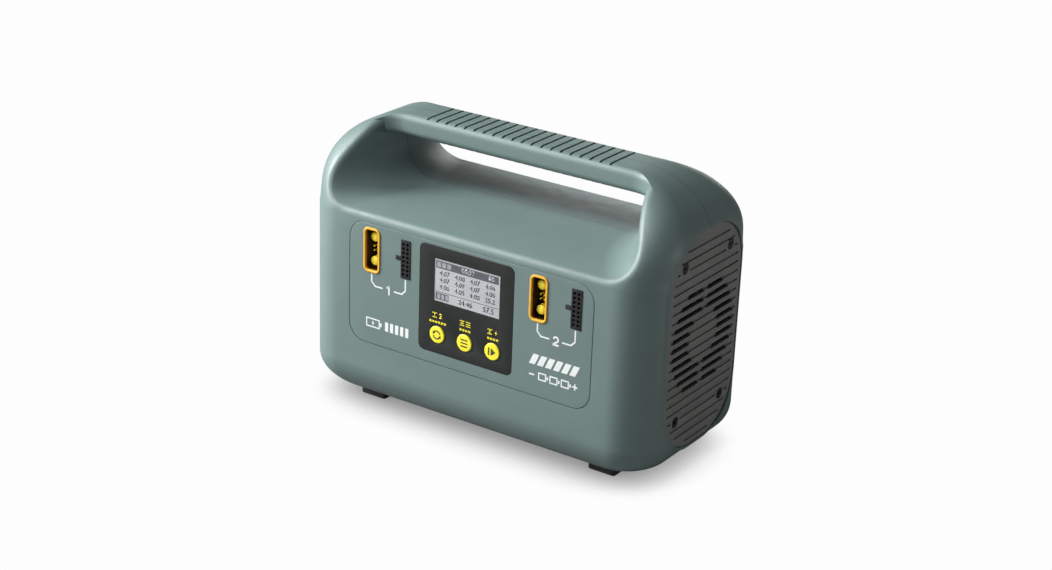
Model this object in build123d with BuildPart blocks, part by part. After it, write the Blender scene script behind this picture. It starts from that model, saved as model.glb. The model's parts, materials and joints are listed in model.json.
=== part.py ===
from build123d import *
import math
import os

# Balance battery charger with a carrying handle, in millimetres.
# X runs to the right seen from the front, the front faces -Y, +Z is up.
# The origin is on the ground under the middle of the body.

os.makedirs("parts", exist_ok=True)

# ---------------------------------------------------------------- body
WIDTH = 276.0
DEPTH = 133.4
HEIGHT = 198.0
FOOT_STEP = 5.5            # ground to the underside of the shell
WALL = 3.0
PART_GAP = 0.15            # half of the gap between the two shells
PLAN_CORNER = 31.0
BOTTOM_ROUND_X = 34.0      # bottom edge seen from the front, across
BOTTOM_ROUND_Z = 22.0      # bottom edge seen from the front, up
BOTTOM_ROUND_SIDE = 28.0   # bottom edge seen from the side
TOP_ROUND_X = 54.0
TOP_ROUND_Z = 40.0
WALL_START = FOOT_STEP + BOTTOM_ROUND_SIDE    # the walls are upright from here to the shoulder
SHOULDER_Z = 139.0         # above this the front and back lean inward
TOP_HALF_DEPTH = 14.0
ARCH_RISE = 3.6            # shallow arch under the body
ARCH_FLAT = 44.0
ARCH_END = 60.0

# ---------------------------------------------------------------- handle opening
DECK_Z = 150.2
DECK_DROP = 6.2            # how far the deck falls towards front and back
DECK_REACH = 60.0
HANDLE_UNDER = 182.5
HANDLE_HALF = 18.0
HANDLE_ROUND = 5.0
NECK_ANGLE = 65.0          # how far each neck turns outward
NECK_X = 88.0              # where the handle starts to widen into the pillars
NECK_TURN = 30.0
OPENING_ROUND_LOW = 24.0
MOUTH_ROUND = 5.0
OPENING_HALF = 100.0       # at the middle of the depth
OPENING_MOUTH = 146.0      # half width past the mouth, at OPENING_REACH
OPENING_REACH = DEPTH / 2 + 14.0
GROOVES = 20
GROOVE_PITCH = 7.5
GROOVE_WIDTH = 1.9
GROOVE_DEPTH = 1.1

# ---------------------------------------------------------------- front panel
PANEL_W = 191.6
PANEL_H = 85.0
PANEL_Z = 94.3
PANEL_CORNER = 12.5
PANEL_THICK = 3.0
PANEL_GAP = 0.35
LEDGE = 5.0
LEDGE_THICK = 2.8
NOTCH_FIT = 1.6            # room round each outlet and port where the ledge is notched for it
CUT_PAST = 9.0             # cutters for seats and windows run this far, past the outer face
BEZEL_X = -0.8
BEZEL_Z = 97.1
BEZEL_W = 74.3
BEZEL_H = 75.0
BEZEL_CORNER = 4.5
BEZEL_THICK = 1.5
SCREEN_X = -0.4
SCREEN_Z = 111.2
SCREEN_W = 51.6
SCREEN_H = 29.4
BUTTON_X = (-22.7, -0.8, 21.1)
BUTTON_Z = 73.0
BUTTON_D = 11.8
BUTTON_FIT = 0.1           # running gap round a button
BUTTON_PROUD = 0.8
BUTTON_TRAVEL = 0.6
CONNECTOR_X = (-77.3, 54.9)
CONNECTOR_Z = 118.4
CONNECTOR_W = 13.6
CONNECTOR_H = 31.4
CONNECTOR_CORNER = 4.0
PORT_X = (-49.4, 83.2)
PORT_Z = 118.6
PORT_W = 7.8
PORT_H = 26.7
PORT_ROWS = 8
PORT_PITCH = 3.0
PORT_HOLE = 1.7
TAB_W = 4.1
TAB_H = 2.9

# ---------------------------------------------------------------- side grilles and fans
GRILLE_FACE = 136.6
GRILLE_THICK = 2.6
GRILLE_W = 88.5
GRILLE_Z = 93.7
GRILLE_H = 146.2
GRILLE_CORNER = 35.5
PAD_RIM = 3.0              # rim of the shell round the grille
PAD_ROUND = 2.2
PAD_THICK = 14.0
GRILLE_SCREW_Y = 28.4
GRILLE_SCREW_Z = (43.0, 147.5)
SLOT_PITCH = 6.33
SLOT_MIDDLE = 94.4
SLOT_BELOW = 11
SLOT_ABOVE = 10
SLOT_THIN = 1.4
SLOT_WIDE = 3.3
SLOT_DEEP = 1.2
FAN = 80.0
FAN_THICK = 25.0
FAN_HOLE = 35.75
FAN_BORE = 38.5
FAN_Z = SLOT_MIDDLE
HUB_R = 17.5
AIR_R = 38.6
BLADES = 7
SHAFT_R = 1.5
SHAFT_FIT = 0.05

# ---------------------------------------------------------------- boards and rear
BOARD_THICK = 1.6
CONTROL_Y = -52.0          # front face of the control board
CONTROL_W = 178.0
CONTROL_H = 74.0
POWER_Z = 26.0             # underside of the power board
POWER_W = 206.0
POWER_D = 96.0
STANDOFF_X = 70.0
STANDOFF_Y = 40.0
INLET_X = 62.0
INLET_Z = 62.0
SWITCH_X = 20.0
SWITCH_Z = 62.0
FOOT_X = 93.2
FOOT_Y = 37.9
FOOT_W = 20.5
FOOT_D = 12.0
FOOT_SEAT = 7.0
SHELL_SCREWS = ((-118.0, 140.0), (118.0, 140.0), (-115.0, 23.0), (115.0, 23.0), (-50.0, 17.0), (50.0, 17.0))
THREAD_FIT = 0.05

FRONT_Y = -DEPTH / 2
REAR_Y = DEPTH / 2
BUTTONS = [(x, BUTTON_Z) for x in BUTTON_X]
CONNECTORS = [(x, CONNECTOR_Z) for x in CONNECTOR_X]
PORTS = [(x, PORT_Z) for x in PORT_X]

# ---------------------------------------------------------------- rear inlet and switch sizes
INLET_BODY_W = 27.4
INLET_BODY_H = 42.0
INLET_FLANGE_W = 48.0
INLET_FLANGE_H = 48.0
INLET_FLANGE = 2.5
INLET_DEEP = 22.0
INLET_SOCKET_Z = INLET_Z + 8.0
INLET_SCREWS = [(INLET_X - 20.0, INLET_Z + 8.0), (INLET_X + 20.0, INLET_Z + 8.0)]
DRAWER_Z = INLET_Z - 14.0
DRAWER_W = 22.0
DRAWER_H = 9.0
DRAWER_DEEP = 16.0
DRAWER_FIT = 0.08
SWITCH_BODY_W = 13.0
SWITCH_BODY_H = 19.4
SWITCH_FLANGE_W = 15.2
SWITCH_FLANGE_H = 21.2
SWITCH_FLANGE = 2.0
SWITCH_DEEP = 14.0
ROCKER_W = 9.6
ROCKER_R = 9.0
ROCKER_PIN = 1.2
ROCKER_TILT = 10.0
ROCKER_Y = REAR_Y - 2.5    # axis of the rocker's pin
CUTOUT_FIT = 0.4
CUTOUT_DEEP = 12.0


def front_plane(y):
    """Upright plane facing the front at depth y; its local axes are X and Z."""
    return Plane.XZ.offset(-y)


def save(shape, name):
    """Label a finished piece and write it as one STEP file."""
    shape.label = name
    export_step(shape, f"parts/{name}.step")


def rounded_half(z, half, low, high, skin):
    """Half size at height z of a form with elliptical bottom and top rounds."""
    low_x, low_z = low
    high_x, high_z = high
    low_centre = FOOT_STEP + low_z
    high_centre = HEIGHT - high_z
    if z < low_centre:
        rise = min(1.0, (low_centre - z) / (low_z - skin))
        return half - low_x + (low_x - skin) * math.sqrt(1 - rise**2)
    if z > high_centre:
        rise = min(1.0, (z - high_centre) / (high_z - skin))
        return half - high_x + (high_x - skin) * math.sqrt(1 - rise**2)
    return half - skin


def half_width(z, skin):
    """Half width of the body at height z, with skin taken off."""
    low = (BOTTOM_ROUND_X, BOTTOM_ROUND_Z)
    return rounded_half(z, WIDTH / 2, low, (TOP_ROUND_X, TOP_ROUND_Z), skin)


def half_depth(z, skin):
    """Half depth of the body at height z: upright walls under a leaning dome."""
    if z <= SHOULDER_Z:
        low = (BOTTOM_ROUND_SIDE, BOTTOM_ROUND_SIDE)
        return rounded_half(z, DEPTH / 2, low, (1.0, 1.0), skin)
    rise = min(1.0, (z - SHOULDER_Z) / (HEIGHT - SHOULDER_Z - skin))
    lean = (1 - rise**1.5) ** 0.7
    return TOP_HALF_DEPTH - skin + (DEPTH / 2 - TOP_HALF_DEPTH) * lean


def body_section(z, skin):
    """Rounded rectangle that the body fills at height z, skin inside the outer surface."""
    deep = half_depth(z, skin)
    corner = (PLAN_CORNER - skin) * (deep / (DEPTH / 2 - skin)) ** 1.3
    with BuildSketch(Plane.XY.offset(z)) as section:
        RectangleRounded(2 * half_width(z, skin), 2 * deep, corner)
    return section.sketch


def make_body(skin):
    """Closed body, skin inside the outer surface: rounded base, upright walls and leaning top."""
    bottom = FOOT_STEP + skin
    top = HEIGHT - skin
    low_turns = [math.radians(a) for a in (0, 15, 30, 45, 60, 75, 90)]
    high_turns = [math.radians(a) for a in (0, 12, 24, 36, 48, 60, 72, 82, 90)]
    low = [bottom + (WALL_START - bottom) * (1 - math.cos(turn)) for turn in low_turns]
    high = [SHOULDER_Z + (top - SHOULDER_Z) * math.sin(turn) for turn in high_turns]
    with BuildPart() as body:
        add(body_section(WALL_START, skin))
        extrude(amount=SHOULDER_Z - WALL_START)
        loft([body_section(z, skin) for z in low])
        loft([body_section(z, skin) for z in high])
    return body.part


def make_handle_bar(grow):
    """Handle between the pillars: straight sides that turn outward at both necks."""
    half = HANDLE_HALF - grow
    turn_radius = NECK_TURN + grow
    with BuildPart() as bar:
        with BuildSketch(Plane.XY.offset(HANDLE_UNDER + grow)):
            with BuildLine():
                Line((0, -half), (NECK_X, -half))
                turn = CenterArc((NECK_X, -half - turn_radius), turn_radius, 90, -NECK_ANGLE)
                Polyline(turn @ 1, (WIDTH / 2 + 6, (turn @ 1).Y), (WIDTH / 2 + 6, 0))
                mirror(about=Plane.XZ)
                mirror(about=Plane.YZ)
            make_face()
        extrude(amount=HEIGHT)
        if grow == 0:
            fillet(bar.edges().group_by(Axis.Z)[0], HANDLE_ROUND)
    return bar.part


def make_handle_edge():
    """Cutter that rounds both upper edges of the handle: the straight part and the four necks."""
    centre = (HANDLE_ROUND - HANDLE_HALF, HEIGHT - HANDLE_ROUND)
    side = HANDLE_ROUND + 1
    with BuildPart() as cutter:
        with BuildSketch(Plane.YZ) as spandrel:
            with Locations(centre):
                Rectangle(side, side, align=(Align.MAX, Align.MIN))
                Circle(HANDLE_ROUND, mode=Mode.SUBTRACT)
        extrude(amount=NECK_X)
        neck_axis = Axis((NECK_X, -HANDLE_HALF - NECK_TURN, 0), (0, 0, 1))
        with BuildSketch(Plane.YZ.offset(NECK_X)):
            with Locations(centre):
                Rectangle(side, side, align=(Align.MAX, Align.MIN))
                Circle(HANDLE_ROUND, mode=Mode.SUBTRACT)
        revolve(axis=neck_axis, revolution_arc=-NECK_ANGLE)
        mirror(about=Plane.YZ)
        mirror(about=Plane.XZ)
    return cutter.part


def make_opening(grow):
    """Hand opening: an hourglass seen from above, over a crowned deck, round the handle bar."""
    half = OPENING_HALF + grow
    mouth = OPENING_MOUTH + grow
    far = OPENING_REACH
    deck_edge = DECK_Z - grow - DECK_DROP * (far / DECK_REACH) ** 2
    top = HEIGHT + 20
    with BuildPart() as opening:
        with BuildSketch(Plane.XY.offset(deck_edge - 10)):
            with BuildLine():
                wall = ThreePointArc((mouth, -far), (half, 0), (mouth, far))
                Line(wall @ 1, (0, far))
                Line((0, -far), wall @ 0)
                mirror(about=Plane.YZ)
            make_face()
        extrude(amount=top - deck_edge + 10)
        with BuildSketch(Plane.YZ):
            with BuildLine():
                deck = ThreePointArc((-far, deck_edge), (0, DECK_Z - grow), (far, deck_edge))
                Polyline(deck @ 1, (far, top), (-far, top), deck @ 0)
            make_face()
        extrude(amount=WIDTH, both=True, mode=Mode.INTERSECT)
        if grow == 0:
            ends = opening.edges().filter_by(lambda e: abs(e.center().X) > OPENING_HALF - 10)
            low_ends = ends.filter_by(lambda e: abs(e.center().Y) < 1 and e.center().Z < DECK_Z + 1)
            fillet(low_ends, OPENING_ROUND_LOW)
        add(make_handle_bar(grow), mode=Mode.SUBTRACT)
    return opening.part


def is_mouth_edge(edge):
    """Whether an edge is on the front or rear mouth of the opening, beside the pillars or on the deck."""
    spot = edge.center()
    if edge.geom_type == GeomType.LINE or spot.Z > HEIGHT - 1:
        return False
    return abs(spot.Y) > 45 and spot.Z > SHOULDER_Z or abs(spot.Y) > 30 and spot.Z > HANDLE_UNDER - 1


def make_grille_pad(side):
    """Low raised pad that carries the grille where the body rounds away from it."""
    inner = Plane(origin=(side * (GRILLE_FACE - PAD_THICK), 0, 0), x_dir=(0, side, 0), z_dir=(side, 0, 0))
    with BuildPart() as pad:
        with BuildSketch(inner):
            with Locations((0, GRILLE_Z)):
                RectangleRounded(GRILLE_W + 2 * PAD_RIM, GRILLE_H + 2 * PAD_RIM, GRILLE_CORNER + PAD_RIM)
        extrude(amount=PAD_THICK + 0.3)
        fillet(pad.edges().group_by(Axis.X)[-1 if side > 0 else 0], PAD_ROUND)
    return pad.part


def cut_shell_outside():
    """Outer body with the hand opening, the finger grooves and the arch underneath."""
    with BuildPart() as outside:
        add(make_body(0))
        add(make_opening(0), mode=Mode.SUBTRACT)
        mouth = outside.edges().filter_by(is_mouth_edge)
        fillet(mouth, MOUTH_ROUND)
        add(make_handle_edge(), mode=Mode.SUBTRACT)
        for side in (-1, 1):
            add(make_grille_pad(side))
        with BuildSketch(Plane.XZ):
            with BuildLine():
                Polyline(
                    (-ARCH_END, FOOT_STEP), (-ARCH_FLAT, FOOT_STEP + ARCH_RISE),
                    (ARCH_FLAT, FOOT_STEP + ARCH_RISE), (ARCH_END, FOOT_STEP),
                    (ARCH_END, 0), (-ARCH_END, 0), close=True,
                )
            make_face()
        extrude(amount=DEPTH, both=True, mode=Mode.SUBTRACT)
        for level in (HEIGHT - GROOVE_DEPTH / 2, HANDLE_UNDER + GROOVE_DEPTH / 2):
            with Locations((0, 0, level)):
                with GridLocations(GROOVE_PITCH, 0, GROOVES, 1):
                    Box(GROOVE_WIDTH, 2 * HANDLE_HALF, GROOVE_DEPTH, mode=Mode.SUBTRACT)
    return outside.part


def rounded_plate(plane, spot, size, corner, thick):
    """Plate with rounded corners, centred at spot on plane, thick along the plane's normal."""
    with BuildPart() as plate:
        with BuildSketch(plane):
            with Locations(spot):
                RectangleRounded(size[0], size[1], corner)
        extrude(amount=thick)
    return plate.part


def rod(plane, spots, radius, length):
    """Round rods of one length standing on plane at spots."""
    with BuildPart() as rods:
        with BuildSketch(plane):
            with Locations(*spots):
                Circle(radius)
        extrude(amount=length)
    return rods.part


def screw(plane, spots, shank, length, head, head_height):
    """Pan-head screws: heads stand on plane, shanks go the other way; a cross recess in each head."""
    recess = head_height * 0.6
    with BuildPart() as screws:
        with BuildSketch(plane):
            with Locations(*spots):
                Circle(head)
        extrude(amount=head_height)
        rims = screws.edges().filter_by(GeomType.CIRCLE)
        chamfer(rims.group_by(Axis(plane.origin, plane.z_dir))[-1], head_height * 0.25)
        with BuildSketch(plane):
            with Locations(*spots):
                Circle(shank)
        extrude(amount=-length)
        with BuildSketch(plane.offset(head_height - recess)):
            with Locations(*spots):
                Rectangle(head * 1.1, head * 0.24)
                Rectangle(head * 0.24, head * 1.1)
        extrude(amount=head_height, mode=Mode.SUBTRACT)
    return screws.part


# ---------------------------------------------------------------- where the shell is thickened or cut
SEAT_DEEP = GRILLE_FACE - GRILLE_THICK          # the grille's back rests here
SEAT_INNER = SEAT_DEEP - WALL
GRILLE_BOSS_END = SEAT_INNER - 6.0
GRILLE_SCREWS = [(y, z) for y in (-GRILLE_SCREW_Y, GRILLE_SCREW_Y) for z in GRILLE_SCREW_Z]
FEET = [(x, y) for x in (-FOOT_X, FOOT_X) for y in (-FOOT_Y, FOOT_Y)]
STANDOFFS = [(x, y) for x in (-STANDOFF_X, STANDOFF_X) for y in (-STANDOFF_Y, STANDOFF_Y)]
LEDGE_BACK = FRONT_Y + PANEL_THICK + LEDGE_THICK
PANEL_SCREWS = [(x, PANEL_Z + z) for x in (-93.0, 93.0) for z in (-30.0, 30.0)]
PANEL_SCREWS += [(x, PANEL_Z + z) for x in (-41.5, 41.5) for z in (-39.7, 39.7)]
SEAT_RIM = 7.0             # the grille's seat reaches this far past the grille, inside the shell
SHELL_SCREW_R = 1.5
SHELL_BOSS_R = 4.6
SHELL_HEAD_R = 2.9
SHELL_HEAD_Y = 20.0        # the screw heads sit this deep, inside the rear bosses
SHELL_SCREW_END = -14.0
FOOT_SCREW_TOP = 16.0


def make_cavity():
    """Hollow of the body, less every ledge, pad and boss that the shells need."""
    with BuildPart() as cavity:
        add(make_body(WALL))
        add(make_opening(WALL), mode=Mode.SUBTRACT)
        with Locations((0, 0, FOOT_STEP + (ARCH_RISE + WALL) / 2)):
            Box(2 * ARCH_END + 6, DEPTH, ARCH_RISE + WALL, mode=Mode.SUBTRACT)
        for side in (-1, 1):
            seat = Plane(origin=(side * SEAT_INNER, 0, 0), x_dir=(0, side, 0), z_dir=(side, 0, 0))
            pad_size = (GRILLE_W + 2 * SEAT_RIM, GRILLE_H + 2 * SEAT_RIM)
            pad = rounded_plate(seat, (0, GRILLE_Z), pad_size, GRILLE_CORNER + SEAT_RIM, 2 * WALL)
            add(pad, mode=Mode.SUBTRACT)
            ends = rod(seat.offset(GRILLE_BOSS_END - SEAT_INNER), GRILLE_SCREWS, 4.2, 2 * WALL + 2)
            add(ends, mode=Mode.SUBTRACT)
        ledge = rounded_plate(
            front_plane(LEDGE_BACK), (0, PANEL_Z),
            (PANEL_W + 2 * LEDGE, PANEL_H + 2 * LEDGE), PANEL_CORNER + LEDGE, PANEL_THICK + LEDGE_THICK,
        )
        add(ledge, mode=Mode.SUBTRACT)
        add(rod(front_plane(REAR_Y), SHELL_SCREWS, SHELL_BOSS_R, DEPTH), mode=Mode.SUBTRACT)
        add(rod(Plane.XY.offset(FOOT_STEP), FEET, 4.5, FOOT_SCREW_TOP + 2 - FOOT_STEP), mode=Mode.SUBTRACT)
        for spot in FEET:
            with Locations((spot[0], spot[1], FOOT_STEP + 2)):
                Box(FOOT_W + 5, FOOT_D + 5, 6.5, mode=Mode.SUBTRACT)
        add(rod(Plane.XY.offset(FOOT_STEP), STANDOFFS, 4.0, POWER_Z - FOOT_STEP), mode=Mode.SUBTRACT)
    return cavity.part


def make_shell():
    """Whole shell before it is split at the middle of its depth."""
    with BuildPart() as shell:
        add(cut_shell_outside())
        add(make_cavity(), mode=Mode.SUBTRACT)
        # front panel: a shallow seat, and a window through the ledge behind it
        seat_size = (PANEL_W + 2 * PANEL_GAP, PANEL_H + 2 * PANEL_GAP)
        seat_plane = front_plane(FRONT_Y + PANEL_THICK)
        seat = rounded_plate(seat_plane, (0, PANEL_Z), seat_size, PANEL_CORNER + PANEL_GAP, CUT_PAST)
        add(seat, mode=Mode.SUBTRACT)
        ledge_plane = front_plane(LEDGE_BACK + 1)
        window_size = (PANEL_W - 2 * LEDGE, PANEL_H - 2 * LEDGE)
        window = rounded_plate(ledge_plane, (0, PANEL_Z), window_size, PANEL_CORNER - LEDGE, CUT_PAST)
        add(window, mode=Mode.SUBTRACT)
        for spot in CONNECTORS:
            notch = (CONNECTOR_W + NOTCH_FIT, CONNECTOR_H + NOTCH_FIT)
            add(rounded_plate(ledge_plane, spot, notch, CONNECTOR_CORNER, CUT_PAST), mode=Mode.SUBTRACT)
        for spot in PORTS:
            notch = (PORT_W + NOTCH_FIT, PORT_H + NOTCH_FIT)
            add(rounded_plate(ledge_plane, spot, notch, 1, CUT_PAST), mode=Mode.SUBTRACT)
        add(rod(ledge_plane, PANEL_SCREWS, 1.1, 6), mode=Mode.SUBTRACT)
        for side in (-1, 1):
            face = Plane(origin=(side * SEAT_DEEP, 0, 0), x_dir=(0, side, 0), z_dir=(side, 0, 0))
            size = (GRILLE_W + 0.4, GRILLE_H + 0.4)
            grille_cut = rounded_plate(face, (0, GRILLE_Z), size, GRILLE_CORNER + 0.2, CUT_PAST)
            add(grille_cut, mode=Mode.SUBTRACT)
            air = rounded_plate(face.offset(-CUT_PAST), (0, FAN_Z), (FAN + 1.2, FAN + 1.2), 5, CUT_PAST + 3)
            add(air, mode=Mode.SUBTRACT)
            pilots = rod(face.offset(GRILLE_BOSS_END - SEAT_DEEP - 1), GRILLE_SCREWS, 1.5 + THREAD_FIT, 12)
            add(pilots, mode=Mode.SUBTRACT)
        # screws between the shells: head tunnels from the rear, pilot holes ahead of them
        tunnel_depth = REAR_Y - SHELL_HEAD_Y + 4
        add(rod(front_plane(REAR_Y + 4), SHELL_SCREWS, SHELL_HEAD_R + 0.3, tunnel_depth), mode=Mode.SUBTRACT)
        pilot_deep = REAR_Y - SHELL_SCREW_END + 1
        pilots = rod(front_plane(REAR_Y), SHELL_SCREWS, SHELL_SCREW_R + THREAD_FIT, pilot_deep)
        add(pilots, mode=Mode.SUBTRACT)
        # feet: shallow seats and screw holes
        for spot in FEET:
            with Locations((spot[0], spot[1], FOOT_SEAT / 2)):
                Box(FOOT_W + 0.2, FOOT_D + 0.2, FOOT_SEAT, mode=Mode.SUBTRACT)
        add(rod(Plane.XY, FEET, 1.5 + THREAD_FIT, FOOT_SCREW_TOP + 0.5), mode=Mode.SUBTRACT)
        add(rod(Plane.XY.offset(POWER_Z - 9), STANDOFFS, 1.5 + THREAD_FIT, 10), mode=Mode.SUBTRACT)
        # rear cutouts for the mains inlet and the switch
        with BuildSketch(front_plane(REAR_Y + 2)):
            with Locations((INLET_X, INLET_Z)):
                Rectangle(INLET_BODY_W + CUTOUT_FIT, INLET_BODY_H + CUTOUT_FIT)
            with Locations((SWITCH_X, SWITCH_Z)):
                Rectangle(SWITCH_BODY_W + CUTOUT_FIT, SWITCH_BODY_H + CUTOUT_FIT)
            with Locations(*INLET_SCREWS):
                Circle(1.6)
        extrude(amount=CUTOUT_DEEP, mode=Mode.SUBTRACT)
    return shell.part


shell = make_shell()
for name, side in (("front_shell", -1), ("rear_shell", 1)):
    with BuildPart() as half_shell:
        add(shell)
        split(bisect_by=Plane(origin=(0, side * PART_GAP, 0), x_dir=(1, 0, 0), z_dir=(0, side, 0)))
    save(half_shell.part, name)
shell_screw_long = SHELL_HEAD_Y - SHELL_SCREW_END
head_plane = front_plane(SHELL_HEAD_Y)
shell_screws = screw(head_plane, SHELL_SCREWS, SHELL_SCREW_R, shell_screw_long, SHELL_HEAD_R, 2.2)
save(shell_screws.mirror(head_plane), "shell_screws")

# ---------------------------------------------------------------- front panel
PANEL_FACE = front_plane(FRONT_Y)
PANEL_BACK = FRONT_Y + PANEL_THICK
BEZEL_BACK = FRONT_Y + BEZEL_THICK
CONNECTOR_PROUD = 0.7
PORT_PROUD = 0.4
FLANGE_R = BUTTON_D / 2 + 1.0
FLANGE_THICK = 1.0
GLASS_LIP = 1.6
POST_R = 2.6
CONTROL_SCREWS = [(-86.0, 61.3), (86.0, 61.3), (-63.8, 127.3), (68.5, 127.3)]

with BuildPart() as front_panel:
    with BuildSketch(front_plane(PANEL_BACK)):
        with Locations((0, PANEL_Z)):
            RectangleRounded(PANEL_W, PANEL_H, PANEL_CORNER)
    extrude(amount=PANEL_THICK)
    fillet(front_panel.faces().sort_by(Axis.Y)[0].edges(), 0.4)
    with BuildSketch(PANEL_FACE):
        with Locations((BEZEL_X, BEZEL_Z)):
            RectangleRounded(BEZEL_W + 0.2, BEZEL_H + 0.2, BEZEL_CORNER + 0.1)
    extrude(amount=-BEZEL_THICK, mode=Mode.SUBTRACT)
    with BuildSketch(PANEL_FACE):
        with Locations((SCREEN_X, SCREEN_Z)):
            Rectangle(SCREEN_W + 2 * GLASS_LIP + 0.4, SCREEN_H + 2 * GLASS_LIP + 0.4)
        with Locations(*BUTTONS):
            Circle(FLANGE_R + 0.5)
        with Locations(*CONNECTORS):
            RectangleRounded(CONNECTOR_W + 0.3, CONNECTOR_H + 0.3, CONNECTOR_CORNER + 0.15)
        with Locations(*PORTS):
            Rectangle(PORT_W + 0.3, PORT_H + 0.3)
        with Locations(*[(x - (PORT_W + TAB_W) / 2, PORT_Z) for x in PORT_X]):
            Rectangle(TAB_W + 0.6, TAB_H + 0.3)
    extrude(amount=-PANEL_THICK, mode=Mode.SUBTRACT)
    with BuildSketch(front_plane(PANEL_BACK)):
        with Locations(*PANEL_SCREWS):
            Circle(1.0 + THREAD_FIT)
    extrude(amount=PANEL_THICK / 2, mode=Mode.SUBTRACT)
    with BuildSketch(front_plane(CONTROL_Y)):
        with Locations(*CONTROL_SCREWS):
            Circle(POST_R)
    extrude(amount=CONTROL_Y - PANEL_BACK)
    with BuildSketch(front_plane(CONTROL_Y)):
        with Locations(*CONTROL_SCREWS):
            Circle(1.25 + THREAD_FIT)
    extrude(amount=7, mode=Mode.SUBTRACT)
save(front_panel.part, "front_panel")

panel_screws = screw(front_plane(LEDGE_BACK), PANEL_SCREWS, 1.0, LEDGE_THICK + 1.3, 1.9, 1.3)
save(panel_screws.mirror(front_plane(LEDGE_BACK)), "panel_screws")

with BuildPart() as display_bezel:
    with BuildSketch(front_plane(BEZEL_BACK)):
        with Locations((BEZEL_X, BEZEL_Z)):
            RectangleRounded(BEZEL_W, BEZEL_H, BEZEL_CORNER)
        with Locations((SCREEN_X, SCREEN_Z)):
            Rectangle(SCREEN_W, SCREEN_H, mode=Mode.SUBTRACT)
        with Locations(*BUTTONS):
            Circle(BUTTON_D / 2 + BUTTON_FIT, mode=Mode.SUBTRACT)
    extrude(amount=BEZEL_THICK)
    chamfer(display_bezel.faces().sort_by(Axis.Y)[0].outer_wire().edges(), 0.25)
save(display_bezel.part, "display_bezel")

with BuildPart() as lcd_window:
    with BuildSketch(front_plane(PANEL_BACK)):
        with Locations((SCREEN_X, SCREEN_Z)):
            Rectangle(SCREEN_W + 2 * GLASS_LIP, SCREEN_H + 2 * GLASS_LIP)
    extrude(amount=PANEL_THICK - BEZEL_THICK)
    with BuildSketch(front_plane(BEZEL_BACK)):
        with Locations((SCREEN_X, SCREEN_Z)):
            Rectangle(SCREEN_W - 0.2, SCREEN_H - 0.2)
    extrude(amount=BEZEL_THICK - 0.3)
save(lcd_window.part, "lcd_window")

LCD_W = 60.0
LCD_H = 37.0
LCD_THICK = 3.6
with BuildPart() as lcd_module:
    with BuildSketch(front_plane(PANEL_BACK + LCD_THICK)):
        with Locations((SCREEN_X, SCREEN_Z)):
            RectangleRounded(LCD_W, LCD_H, 1.0)
    extrude(amount=LCD_THICK)
    with BuildSketch(front_plane(PANEL_BACK)):
        with Locations((SCREEN_X, SCREEN_Z)):
            Rectangle(SCREEN_W + 1, SCREEN_H + 1)
    extrude(amount=-0.3, mode=Mode.SUBTRACT)
save(lcd_module.part, "lcd_module")

# ---------------------------------------------------------------- buttons and their switches
SWITCH_BASE = 6.2
SWITCH_TALL = 3.5
PLUNGER_R = 1.7
PLUNGER_DEEP = 2.0
PLUNGER_TIP = CONTROL_Y - SWITCH_TALL - 1.3
PLUNGER_END = CONTROL_Y - SWITCH_TALL + PLUNGER_DEEP - BUTTON_TRAVEL
BUTTON_TOP = FRONT_Y - BUTTON_PROUD
BUTTON_NAMES = ("channel", "mode", "start")

for x, name in zip(BUTTON_X, BUTTON_NAMES):
    with BuildPart() as button:
        with BuildSketch(front_plane(BEZEL_BACK)):
            with Locations((x, BUTTON_Z)):
                Circle(BUTTON_D / 2)
        extrude(amount=BEZEL_BACK - BUTTON_TOP)
        fillet(button.faces().sort_by(Axis.Y)[0].edges(), 0.7)
        with BuildSketch(front_plane(BEZEL_BACK)):
            with Locations((x, BUTTON_Z)):
                Circle(FLANGE_R)
        extrude(amount=-FLANGE_THICK)
        with BuildSketch(front_plane(BEZEL_BACK + FLANGE_THICK)):
            with Locations((x, BUTTON_Z)):
                Circle(2.2)
        extrude(amount=BEZEL_BACK + FLANGE_THICK - PLUNGER_TIP)
    save(button.part, f"{name}_button")
    plunger = rod(front_plane(PLUNGER_END), [(x, BUTTON_Z)], PLUNGER_R, PLUNGER_END - PLUNGER_TIP)
    save(plunger, f"{name}_plunger")

with BuildPart() as tact_switches:
    with BuildSketch(front_plane(CONTROL_Y)):
        with Locations(*BUTTONS):
            RectangleRounded(SWITCH_BASE, SWITCH_BASE, 0.4)
    extrude(amount=SWITCH_TALL)
    with BuildSketch(front_plane(CONTROL_Y - SWITCH_TALL)):
        with Locations(*BUTTONS):
            Circle(PLUNGER_R + SHAFT_FIT)
    extrude(amount=-PLUNGER_DEEP, mode=Mode.SUBTRACT)
save(tact_switches.part, "tact_switches")

# ---------------------------------------------------------------- control board
with BuildPart() as control_board:
    with BuildSketch(front_plane(CONTROL_Y + BOARD_THICK)):
        with Locations((0, PANEL_Z)):
            RectangleRounded(CONTROL_W, CONTROL_H, 2)
        with Locations(*CONTROL_SCREWS):
            Circle(1.3, mode=Mode.SUBTRACT)
    extrude(amount=BOARD_THICK)
save(control_board.part, "control_board")

board_screws = screw(front_plane(CONTROL_Y + BOARD_THICK), CONTROL_SCREWS, 1.25, BOARD_THICK + 6, 2.3, 1.6)
save(board_screws.mirror(front_plane(CONTROL_Y + BOARD_THICK)), "control_board_screws")

with BuildPart() as control_chips:
    with BuildSketch(front_plane(CONTROL_Y + BOARD_THICK)):
        with Locations((-30, 82), (12, 110), (45, 80)):
            Rectangle(14, 14)
        with Locations((-60, 72), (62, 70), (70, 100), (-68, 104), (0, 78)):
            Rectangle(8, 5)
    extrude(amount=-1.4)
save(control_chips.part, "control_chips")

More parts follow.
